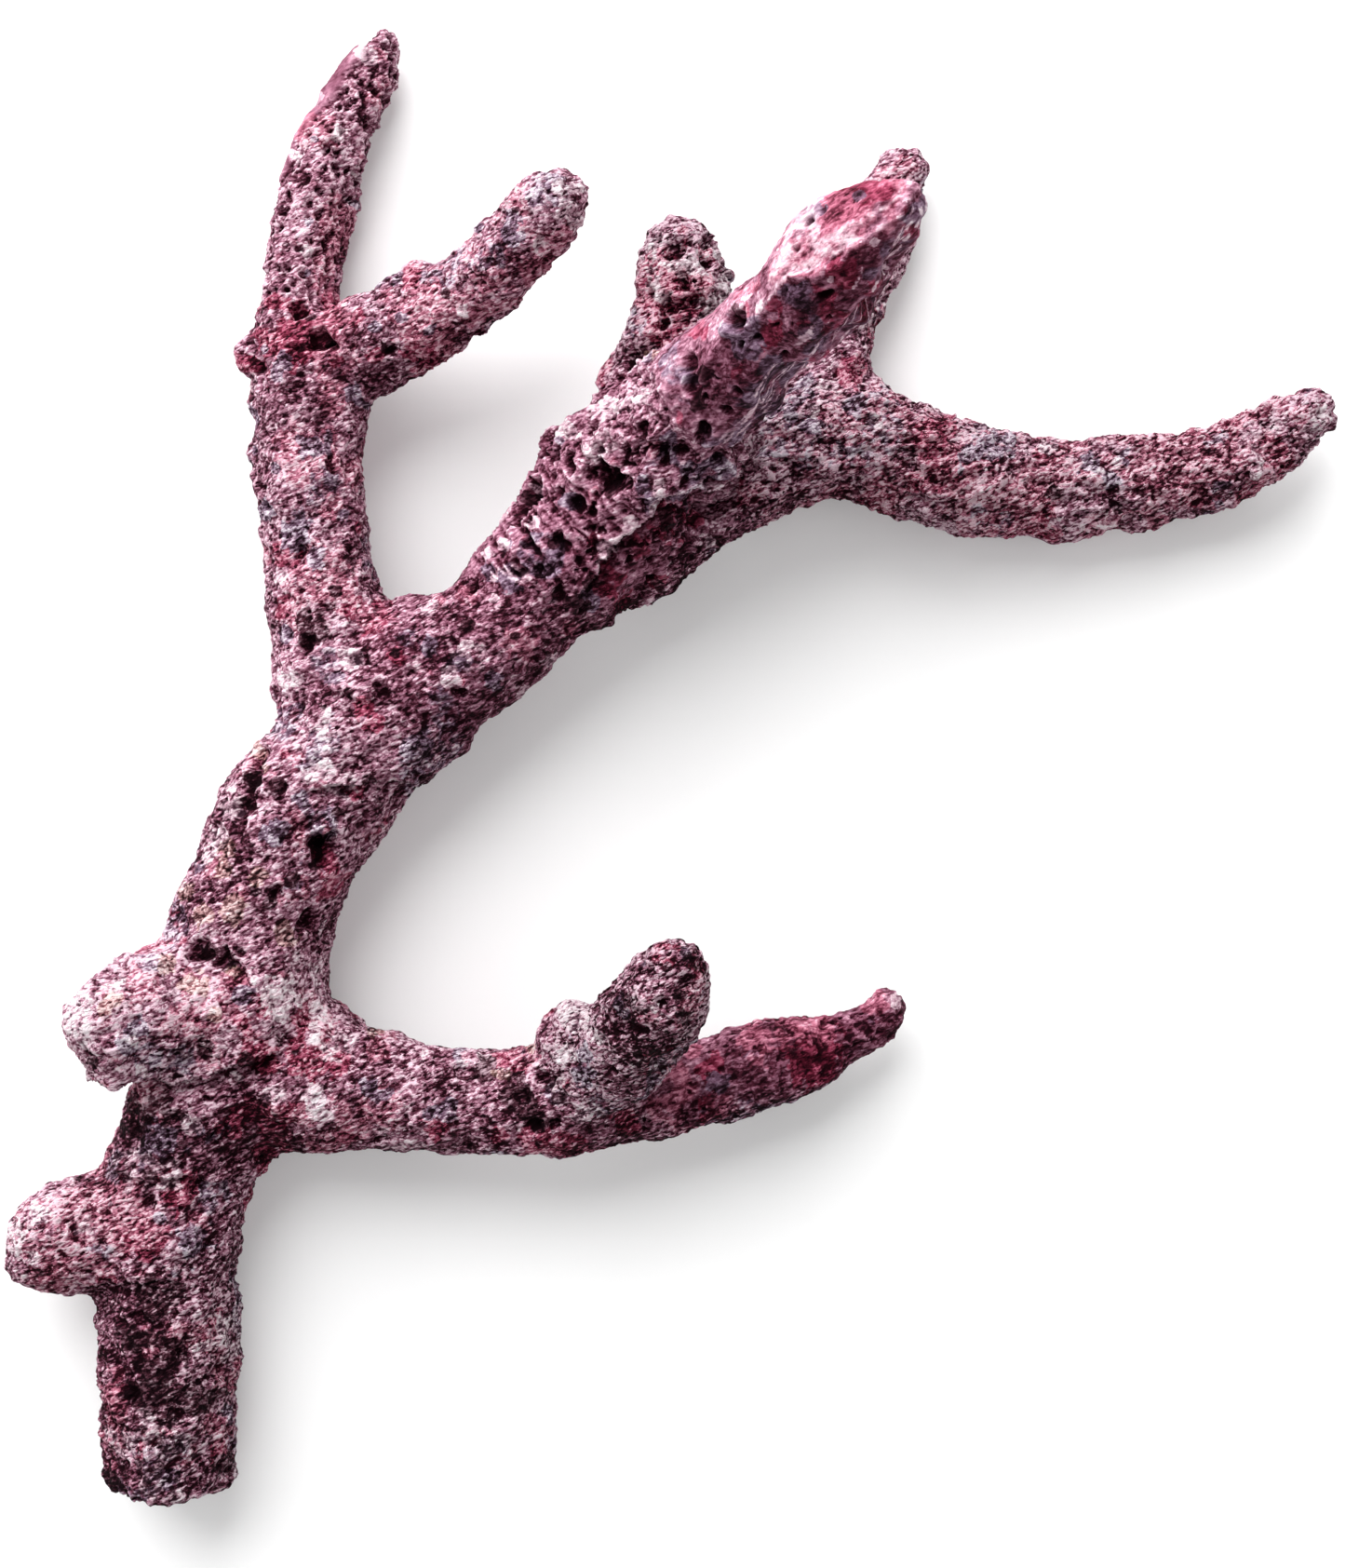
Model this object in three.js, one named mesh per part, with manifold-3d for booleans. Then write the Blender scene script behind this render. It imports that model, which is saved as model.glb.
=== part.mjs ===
// Dry reef rock: one branching, staghorn-like piece of dead reef, lying on its back.
// Millimetres, +Z up. The trunk starts at its flat foot (y = 0) and grows along +Y.
// The limbs fan out in the XY plane, and a few prongs rise out of it toward +Z.
// The piece is parted at its main forks, so that each limb is a body of its own.

import * as THREE from 'three';
import { mergeVertices } from 'three/addons/utils/BufferGeometryUtils.js';
import { ImprovedNoise } from 'three/addons/math/ImprovedNoise.js';
import Module from 'manifold-3d';

// Surface sampling
const RING_STEP = 6.2;
const FACET_WIDTH = 6.7;
const CAP_RINGS = 3;

// Relief of the crust, measured outward from the round core
const SWELL_HEIGHT = 1.7;
const SWELL_WIDTH = 17;
const LUMP_HEIGHT = 1.4;
const LUMP_WIDTH = 7.5;

// Parting at the forks
const FORK_GAP = 0.3;

// The back is worn flat where the rock rests, this far below the axis of the trunk
const REST_DEPTH = 16.2;

// Broken facet on the upper left of the raised end of the fore prong
const FACET_CENTRE = [153, 280.5, 96.5];
const FACET_NORMAL = [-0.6, 0.52, 0.6];

// Cores of the limbs: [x, y, z, radius] from root to tip
// The main stem: trunk, right limb and the fore prong that rises from them
const MAIN_STEM = [
  [-0.5, -9.5, 0, 15.6],
  [-0.5, 8, 0, 15.8],
  [-1, 21.5, 0, 16.6],
  [-0.5, 37, 0, 16.4],
  [-1, 50, 0, 16.6],
  [0, 65.5, 0, 16.6],
  [3, 80, 0.5, 17],
  [9, 96, 2.5, 18.4],
  [15, 115, 4.5, 20],
  [18.5, 129.5, 4.5, 18.8],
  [22.5, 142, 4, 18.4],
  [29, 156.5, 4, 18.6],
  [37, 167, 4, 17.4],
  [46.5, 180, 4, 18.2],
  [57, 188, 5, 18.4],
  [66, 195.5, 6, 16.8],
  [75.5, 201, 7, 15.8],
  [85, 211.5, 9, 15.8],
  [95, 221.5, 11, 17],
  [105.5, 233.5, 15, 17.8],
  [114, 242.5, 24, 17],
  [123.5, 250.5, 36, 15.2],
  [132.5, 257.5, 50, 13],
  [142, 265, 66, 11.6],
  [151, 271.5, 80, 12.8],
  [158, 277.5, 90, 11],
  [163.5, 282, 97, 6.8],
];
const FOOT_STUB = [
  [-5, 61.5, 1, 14.6],
  [-16, 61, 3, 14.4],
  [-26, 60, 6, 12.8],
];
const HIGH_STUB = [
  [10, 115, 8, 16],
  [3.5, 114, 12, 16.6],
  [-4, 112.5, 18, 14.6],
  [-8.5, 111, 22, 11.8],
];
// Lower limb and the prong that it ends in
const LOWER_LIMB = [
  [18, 102.5, 3, 15],
  [30.5, 99, 3, 18],
  [41.5, 96, 4, 15.8],
  [51, 94.5, 5, 13.6],
  [59, 93, 6, 12.6],
  [70, 92.5, 6, 12.2],
  [81, 92.5, 7, 12.4],
  [93.5, 93, 7, 13],
  [104, 93, 4, 11.8],
  [115, 94, 2, 10.8],
  [127, 96, 0, 10.2],
  [136, 99.5, -1, 10.8],
  [145, 101, -2, 10.2],
  [154, 103, -3, 9.2],
  [162.5, 107, -3, 7.2],
  [169, 111.8, -3, 5],
];
const LOWER_STUB = [
  [97, 97, 11, 11],
  [104, 103.5, 19, 11.6],
  [110.5, 110.5, 28, 11.6],
  [115.5, 118, 38, 11.6],
  [118.5, 122.5, 45.5, 10.8],
];
// Left limb and the spire that it ends in
const LEFT_LIMB = [
  [42, 179, 4, 12.5],
  [38.5, 190, 3, 14.4],
  [36, 205, 2, 13.2],
  [34.5, 220.5, 1, 12.6],
  [33, 238, 0.5, 12.8],
  [32, 254, 0, 13],
  [31, 268, -1, 12.6],
  [30, 279, -3, 10.4],
  [30.5, 288, -5, 9.6],
  [31.5, 299.5, -7, 9.6],
  [33.5, 308.5, -7.5, 9.4],
  [36, 317.5, -8, 8.8],
  [39.5, 326.5, -8, 8],
  [43, 333.5, -8.5, 7],
  [47, 340, -8.5, 5.8],
  [50.5, 346.5, -8, 3.6],
];
const LEFT_PRONG = [
  [37, 268.5, 1, 10.5],
  [48, 271, 4, 12],
  [58.5, 274.5, 9, 11.2],
  [68, 278.5, 14, 10],
  [77, 283.5, 20, 9],
  [82, 288.5, 24, 9],
  [87.5, 293.5, 28, 8.6],
  [91.5, 297.5, 31, 8],
];
const TOP_STUB = [
  [112, 255, 17, 11.5],
  [116.8, 266.5, 16, 12],
  [120, 276, 17, 10.8],
  [121.5, 283.5, 18, 10.6],
  [121.5, 288.5, 18, 9.2],
];
// Rear limb and the arm that it ends in
const REAR_LIMB = [
  [101, 221, 7, 12],
  [114, 226, 3, 15.4],
  [127, 234, 1, 13.6],
  [140.5, 243.5, 0, 13],
  [152.5, 248.5, -0.5, 14.6],
  [162, 249, -1, 14.6],
  [173, 245.5, -1.5, 13.4],
  [181, 242, -2, 13.4],
  [191.5, 239.5, -3, 13.4],
  [203, 238, -4.5, 12.2],
  [211, 238, -4.5, 12.2],
  [221, 239, -5, 12],
  [232, 239.5, -5, 11],
  [243, 241, -4.5, 10.2],
  [252, 244, -3.5, 10],
  [258, 247, -2.5, 9.4],
  [263.5, 250.5, -1.5, 8],
  [269, 254.5, 0, 6.8],
];
const REAR_PRONG = [
  [156.5, 254, -1, 11.5],
  [156.5, 267.5, -4, 10],
  [159, 279, -5.5, 8.8],
  [163, 288, -6.5, 8.8],
  [167, 297, -7, 9.4],
  [169.5, 304.5, -7, 9.2],
  [171.5, 311, -7, 7.6],
];

// Knuckles, spurs and filled crotches that stand out of the crust: [x, y, z, height, reach]
const KNUCKLES = [
  [15.5, 268, 0, 3.6, 6],
  [17, 240, 0, 2.6, 5],
  [19, 223.5, 0, 2, 5],
  [61, 168, 4, 1.6, 6],
  [47, 161, 8, 1.6, 6],
  [58, 287.5, 9, 3.6, 6],
  [76, 296.5, 22, 2, 4.5],
  [82.5, 302.5, 26, 2, 4.5],
  [94, 249.5, 15, 4.4, 8],
  [84, 240, 14, 2.4, 6],
  [53.5, 109, 5, 1.4, 5],
  [92, 110, 13, 6, 7],
  [96, 109, 19, 2.4, 6],
  [176, 319, -7, 2, 4],
  [168.5, 262, -3, 2, 5],
  [-6, 98, 20, 2.6, 7],
  [20, 92, 20, 1.4, 7],
  [136, 248, 60, 1.4, 6],
  [118, 232, 36, 1.6, 7],
  [22, 76.5, 0, 3.4, 7],
  [50, 208, 4, 4, 7],
  [45, 258, 2, 3, 6],
  [37, 113, 5, 3.4, 7],
];

// Round pits that open to the front: [x, y, radius]
const FRONT_PITS = [
  [36, 152, 2.1],
  [13, 126, 2.3],
  [87, 235, 2.4],
  [99, 250, 2.1],
  [94, 243, 1.9],
  [20, 268.5, 2.6],
  [119, 292, 2.2],
  [123, 276, 2.4],
  [127, 270, 2],
  [146, 276, 1.9],
  [134, 262, 2.2],
  [143, 254, 1.9],
  [128, 246, 2],
  [138, 247, 1.8],
  [121, 238, 2.4],
  [44, 180, 2],
  [31, 170, 2.1],
  [49, 195, 1.8],
  [22, 112, 2],
  [-4, 110, 2.2],
  [117, 120, 2],
  [76, 90, 1.7],
  [205, 240, 1.7],
  [240, 243, 1.6],
  [38, 318, 1.6],
  [5, 30, 1.8],
];

// Round pits that open to the back: [x, y, radius]
const BACK_PITS = [
  [33, 160, 2.2],
  [52, 188, 2],
  [70, 194, 2.3],
  [104, 222, 2.1],
  [62, 95, 1.9],
  [112, 96, 1.8],
  [32, 232, 2],
  [60, 272, 1.8],
  [-18, 62, 2],
  [-6, 112, 2.2],
  [128, 256, 2.1],
];

// Forks where the rock is parted: [point on the core, direction of the core, radius of the cut]
const FORKS = [
  [[35, 214.5, 1.5], [-0.09, 1, -0.07], 19],
  [[68.5, 197, 6], [0.84, 0.54, 0.08], 24],
  [[43, 96.5, 4], [0.98, -0.18, 0.07], 22],
  [[117, 94.5, 1.5], [0.98, 0.14, -0.12], 15],
  [[108, 108, 25.5], [0.46, 0.49, 0.74], 15.5],
  [[30.5, 286, -4.5], [0.02, 0.97, -0.25], 13],
  [[53, 273, 6.5], [0.88, 0.28, 0.38], 16],
  [[129.5, 255.5, 45], [0.5, 0.4, 0.77], 18],
  [[117.8, 270.5, 16.5], [0.28, 0.96, 0.06], 16],
  [[131.5, 237, 1], [0.84, 0.54, -0.06], 18.5],
  [[157, 269, -4.2], [0.1, 0.98, -0.14], 14],
  [[181.5, 242, -2], [0.95, -0.29, -0.09], 17.5],
];

// Nodes: [name, point inside, colour, roughness]
const BODIES = [
  ['trunk', [0, 60, 0], 0x8f6f7b, 0.9],
  ['lower_limb', [70, 92.5, 6], 0x93707d, 0.9],
  ['lower_stub', [113, 114, 36], 0x866370, 0.9],
  ['lower_prong', [140, 100, -1], 0x8a6170, 0.9],
  ['left_limb', [33, 245, 0], 0x94727f, 0.9],
  ['left_spire', [34, 310, -7.5], 0x8c6976, 0.9],
  ['left_prong', [75, 282, 18], 0x9a7280, 0.9],
  ['right_limb', [82, 206, 8], 0x98757f, 0.9],
  ['fore_prong', [145, 267, 70], 0x9c6c7c, 0.85],
  ['top_stub', [120, 282, 18], 0x8e6473, 0.9],
  ['rear_limb', [150, 247, 0], 0x93687a, 0.9],
  ['rear_prong', [166, 294, -7], 0x86596a, 0.9],
  ['right_arm', [215, 238, -5], 0x8f6a78, 0.9],
];

const wasm = await Module();
wasm.setup();
const noise = new ImprovedNoise();

// Height of the crust above the round core at one point
function relief(p) {
  const swell = noise.noise(p.x / SWELL_WIDTH, p.y / SWELL_WIDTH, p.z / SWELL_WIDTH);
  const lump = noise.noise(p.x / LUMP_WIDTH, p.y / LUMP_WIDTH + 40, p.z / LUMP_WIDTH);
  let height = SWELL_HEIGHT * swell + LUMP_HEIGHT * lump;
  for (const [x, y, z, rise, reach] of KNUCKLES) {
    const away = Math.hypot(p.x - x, p.y - y, p.z - z) / reach;
    height += rise * Math.exp(-away * away);
  }
  return height;
}

// A limb: a capsule bent along its core, as thick as its stations say, with the relief on it
function limb(stations) {
  const core = new THREE.CatmullRomCurve3(stations.map(([x, y, z]) => new THREE.Vector3(x, y, z)));
  const girth = new THREE.SplineCurve(stations.map((s, i) => new THREE.Vector2(i, s[3])));
  const length = core.getLength();
  const rings = Math.max(3, Math.round(length / RING_STEP));
  const meanRadius = stations.reduce((sum, s) => sum + s[3], 0) / stations.length;
  const sides = Math.round((2 * Math.PI * meanRadius) / FACET_WIDTH);
  const frames = core.computeFrenetFrames(rings, false);

  const geometry = new THREE.CapsuleGeometry(1, length, CAP_RINGS, sides, rings);
  const position = geometry.attributes.position;
  for (let i = 0; i < position.count; i++) {
    const along = position.getY(i) + length / 2;
    const ring = THREE.MathUtils.clamp(Math.round((along / length) * rings), 0, rings);
    const onCore = THREE.MathUtils.clamp(along, 0, length);
    const centre = core.getPointAt(ring / rings);
    const radius = girth.getPoint(core.getUtoTmapping(ring / rings)).y;
    const vertex = centre.clone();
    vertex.addScaledVector(frames.tangents[ring], (along - onCore) * radius);
    vertex.addScaledVector(frames.binormals[ring], position.getX(i) * radius);
    vertex.addScaledVector(frames.normals[ring], position.getZ(i) * radius);
    const outward = vertex.clone().sub(centre).normalize();
    vertex.addScaledVector(outward, relief(vertex));
    position.setXYZ(i, vertex.x, vertex.y, vertex.z);
  }
  return solid(geometry);
}

// Closed solid of one geometry
function solid(geometry) {
  geometry.deleteAttribute('normal');
  geometry.deleteAttribute('uv');
  const merged = mergeVertices(geometry, 1e-4);
  const mesh = new wasm.Mesh({
    numProp: 3,
    vertProperties: new Float32Array(merged.attributes.position.array),
    triVerts: new Uint32Array(merged.index.array),
  });
  return new wasm.Manifold(mesh);
}

// Geometry of one solid
function geometryOf(body) {
  const mesh = body.getMesh();
  const geometry = new THREE.BufferGeometry();
  geometry.setAttribute('position', new THREE.BufferAttribute(mesh.vertProperties, 3));
  geometry.setIndex(new THREE.BufferAttribute(mesh.triVerts, 1));
  geometry.computeVertexNormals();
  return geometry;
}

// A thin disc square to a direction
function disc([x, y, z], direction, radius) {
  const geometry = new THREE.CylinderGeometry(radius, radius, FORK_GAP, 24);
  const up = new THREE.Vector3(0, 1, 0);
  const turn = new THREE.Quaternion().setFromUnitVectors(up, new THREE.Vector3(...direction).normalize());
  return solid(geometry.applyQuaternion(turn).translate(x, y, z));
}

// A block whose one face lies at a point, square to a direction, on the outer side of it
function block([x, y, z], direction, size) {
  const outward = new THREE.Vector3(...direction).normalize();
  const turn = new THREE.Quaternion().setFromUnitVectors(new THREE.Vector3(0, 0, 1), outward);
  const geometry = new THREE.BoxGeometry(size, size, size).translate(0, 0, size / 2);
  return solid(geometry.applyQuaternion(turn).translate(x, y, z));
}

// Height of the crust over one place, seen from the front (+1) or from the back (-1)
function crustAt(mesh, x, y, side) {
  const ray = new THREE.Raycaster(new THREE.Vector3(x, y, side * 300), new THREE.Vector3(0, 0, -side));
  const hit = ray.intersectObject(mesh)[0];
  return hit.point.z;
}

// The whole rock in one solid
let rock = limb(MAIN_STEM).subtract(block(FACET_CENTRE, FACET_NORMAL, 60));
const SIDE_LIMBS = [FOOT_STUB, HIGH_STUB, LOWER_LIMB, LOWER_STUB, LEFT_LIMB, LEFT_PRONG];
SIDE_LIMBS.push(TOP_STUB, REAR_LIMB, REAR_PRONG);
for (const stations of SIDE_LIMBS) {
  rock = rock.add(limb(stations));
}

// Pits
const whole = new THREE.Mesh(geometryOf(rock), new THREE.MeshStandardMaterial({ side: THREE.DoubleSide }));
for (const [x, y, radius] of FRONT_PITS) {
  const pit = new THREE.IcosahedronGeometry(radius, 0).translate(x, y, crustAt(whole, x, y, 1));
  rock = rock.subtract(solid(pit));
}
for (const [x, y, radius] of BACK_PITS) {
  const pit = new THREE.IcosahedronGeometry(radius, 0).translate(x, y, crustAt(whole, x, y, -1));
  rock = rock.subtract(solid(pit));
}

// Flat foot, worn back, and the parting at the forks
rock = rock.subtract(block([0, 0, 0], [0, -1, 0], 80));
rock = rock.subtract(block([120, 170, -REST_DEPTH], [0, 0, -1], 600));
for (const [point, direction, radius] of FORKS) {
  rock = rock.subtract(disc(point, direction, radius));
}

// One named body for each limb
const bodies = rock.decompose();
const group = new THREE.Group();
group.name = 'dry_reef_rock';
for (const [name, [x, y, z], color, roughness] of BODIES) {
  const probe = solid(new THREE.IcosahedronGeometry(1, 0).translate(x, y, z));
  const body = bodies.find((candidate) => !candidate.intersect(probe).isEmpty());
  const material = new THREE.MeshStandardMaterial({ color, roughness, metalness: 0 });
  const mesh = new THREE.Mesh(geometryOf(body), material);
  mesh.name = name;
  group.add(mesh);
}

// Origin: middle of the rock's outline, on the plane that it rests on
const box = new THREE.Box3().setFromObject(group);
group.position.set(-(box.min.x + box.max.x) / 2, -(box.min.y + box.max.y) / 2, -box.min.z);

export default group;
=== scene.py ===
"""Looks of the dry reef rock.

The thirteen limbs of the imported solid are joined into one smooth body, which is refined to a
half-millimetre mesh and covered with a granular, pitted crust. The crust is then parted at the
forks again, so that each limb is a closed piece which stands for its node. The trunk is shown
as two such pieces.
"""

import math
from itertools import product

import bpy
import numpy as np
import openvdb as vdb
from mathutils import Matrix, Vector
from mathutils.bvhtree import BVHTree


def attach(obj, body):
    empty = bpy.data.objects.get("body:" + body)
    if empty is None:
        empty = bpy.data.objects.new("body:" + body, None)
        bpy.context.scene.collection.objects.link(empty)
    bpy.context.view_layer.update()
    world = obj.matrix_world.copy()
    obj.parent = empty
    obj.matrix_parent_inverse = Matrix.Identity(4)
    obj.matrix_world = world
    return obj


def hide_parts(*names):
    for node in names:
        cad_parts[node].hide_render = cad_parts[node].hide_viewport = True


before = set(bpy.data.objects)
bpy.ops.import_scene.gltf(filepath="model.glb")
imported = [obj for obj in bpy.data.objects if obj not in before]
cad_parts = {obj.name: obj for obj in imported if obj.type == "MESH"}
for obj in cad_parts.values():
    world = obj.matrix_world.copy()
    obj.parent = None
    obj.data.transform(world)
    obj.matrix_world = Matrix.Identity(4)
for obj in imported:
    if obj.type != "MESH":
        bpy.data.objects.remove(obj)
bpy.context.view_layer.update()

MM = 0.001

# Middle of the trunk's foot in the row frame, in mm. Places on the rock are given from here:
# x to the right, y up the trunk, z to the front.
FOOT = np.array([-118.643, -174.838, 16.2])

# Base mesh, in mm. The limbs are joined at this distance outside their faces, which closes the
# slits, and the joined body is blurred, drawn back in and swollen a little.
CLOSE_GAPS = 0.45
GAP_VOXEL = 0.8
BASE_VOXEL = 1.06
SMOOTHING = 1.5
SWELL = 0.28

# Reach of the two distance fields from the surface, and room around the second, in voxels
GAP_REACH = 4
BASE_REACH = 7
BASE_ROOM = 8

# How far the middle height of the crust lies under the smooth body
SETTLE = 0.35

# The trunk is shown as two pieces, parted this far up
TRUNK_SPLIT = 92

# Rounds of smoothing on the lines where the pieces part
VOTES = 4

# Rounds of smoothing that the fine and the broad relief stand out from, and the relief in mm
# that counts as 1
FINE_RELIEF = (5, 0.16)
BROAD_RELIEF = (40, 0.5)

# Camera above the rock: place, lens and sensor width, and where its view begins, in mm
EYE = (0.28, -7.8, 616.2)
LENS = 57.97
SENSOR = 36
CLIP_START = 10

# Lamps that face the rock: name, place and size in metres, and power in watts
LAMPS = [
    ("key", (-0.55, 1.35, 1.1), 2.2, 66),
    ("side", (-1.5, 0.35, 0.55), 0.8, 6),
    ("fill", (1.1, -0.3, 1.3), 1.6, 3),
]

# Brightness of the surrounding light
STUDIO_LIGHT = 0.47

# The floor's grey, its glow, which makes it as pale as paper, and half its width in metres
FLOOR_GREY = 0.86
FLOOR_GLOW = 0.14
FLOOR_HALF = 20.0

# Stretches of limb with a crust of their own: start and end of the core, radius, soft edge
SPIRE = ((31, 290, -5), (52, 350, -8), 11, 6)
PRONG = ((132, 257, 50), (167, 285, 102), 15, 5)
KNOT = ((102, 232, 16), (128, 250, 38), 19, 8)
FIBRES = ((84, 224, 16), (100, 230, 24), 12, 8)
RAGGED = ((119, 272, 19), (122, 294, 19), 13, 4)
SHEAVES = ((0, -8, 0), (0, 52, 0), 18, 8)
POPCORN = ((3, 114, 12), (-14, 110, 28), 17, 6)
ARM = ((150, 242, -1), (272, 256, 0), 17, 7)
LOW_LIMB = ((45, 96, 4), (150, 100, 0), 17, 7)
LOW_PRONG = ((114, 100, 2), (172, 116, 0), 12, 5)

# Other stretches that several tables name
FOOT_STUB = ((-8, 60, 6), (-32, 60, 8), 14, 5)
TRUNK_MIDDLE = ((14, 126, 6), (44, 184, 6), 18, 8)
LEFT_LIMB = ((34, 200, 2), (30, 262, 2), 14, 6)
RIGHT_LIMB = ((66, 196, 8), (98, 226, 18), 16, 7)
TOP_STUB = ((119, 272, 19), (122, 294, 19), 14, 4)

# Stretches with a lower crust: the stretch, and how much lower
LOWER = [
    (((58, 190, 6), (96, 222, 18), 16, 8), 0.35), (TRUNK_MIDDLE, 0.18), (FOOT_STUB, 0.2),
    (LEFT_LIMB, 0.1), (((30, 96, 4), (84, 92, 6), 16, 7), 0.12),
]

# Smooth flaps along the left edge of the spire
FLAPS = [
    ((42.4, 342, -5), (36.5, 336.5, -5), 2.4, 1.6), ((38, 334.5, -5), (31, 326, -5), 2.4, 1.6),
    ((30, 324, -6), (26, 314, -6), 2.2, 1.6),
]

# Lighter and darker stretches: the stretch, and how far the tone shifts
LIFTS = [
    (((-3, -8, 0), (-3, 50, 0), 14, 6), -0.27),
    (((11, -8, 2), (12, 50, 2), 6, 5), 0.03),
    # painted shadow on the trunk under the lower edge of the high stub
    (((-6, 82, 6), (22, 92, 6), 12, 4), -0.3),
    (FOOT_STUB, 0.05),
    (((22, 98, 2), (60, 92, 4), 15, 6), -0.02),
    (((100, 93, 4), (170, 112, 0), 14, 6), -0.25),
    (((106, 124, 46), (112, 108, 42), 4, 4), -0.28),
    (((93, 111, 24), (101, 109, 32), 4, 3), 0.2),
    (((2, 114, 14), (-14, 110, 28), 16, 6), 0.2),
    (((16, 116, 18), (30, 117, 16), 10, 5), 0.1),
    (((16, 128, 4), (32, 162, 4), 16, 6), -0.03),
    (((34, 178, 4), (48, 192, 6), 16, 8), 0.07),
    (((40, 205, 2), (34, 250, 0), 14, 6), 0.04),
    (((31, 262, 0), (44, 270, 2), 13, 6), -0.08),
    (((60, 276, 10), (92, 298, 28), 14, 6), 0.05),
    (((34, 300, -6), (52, 350, -8), 12, 6), -0.01),
    (((64, 194, 8), (110, 238, 24), 18, 8), -0.16),
    (((96, 236, 28), (122, 246, 42), 14, 6), 0.06),
    # painted shade on the rear limb, under the knot and the raised prong
    (((104, 214, -4), (150, 236, -6), 14, 6), -0.18),
    (((150, 240, 0), (205, 234, -4), 14, 7), 0.1),
    (((205, 234, -4), (262, 250, -2), 14, 7), -0.01),
    (((262, 250, -2), (276, 258, 0), 12, 5), 0.14),
    (TOP_STUB, 0.1),
    (((134, 254, 50), (160, 270, 88), 11, 5), -0.06),
]

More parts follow.
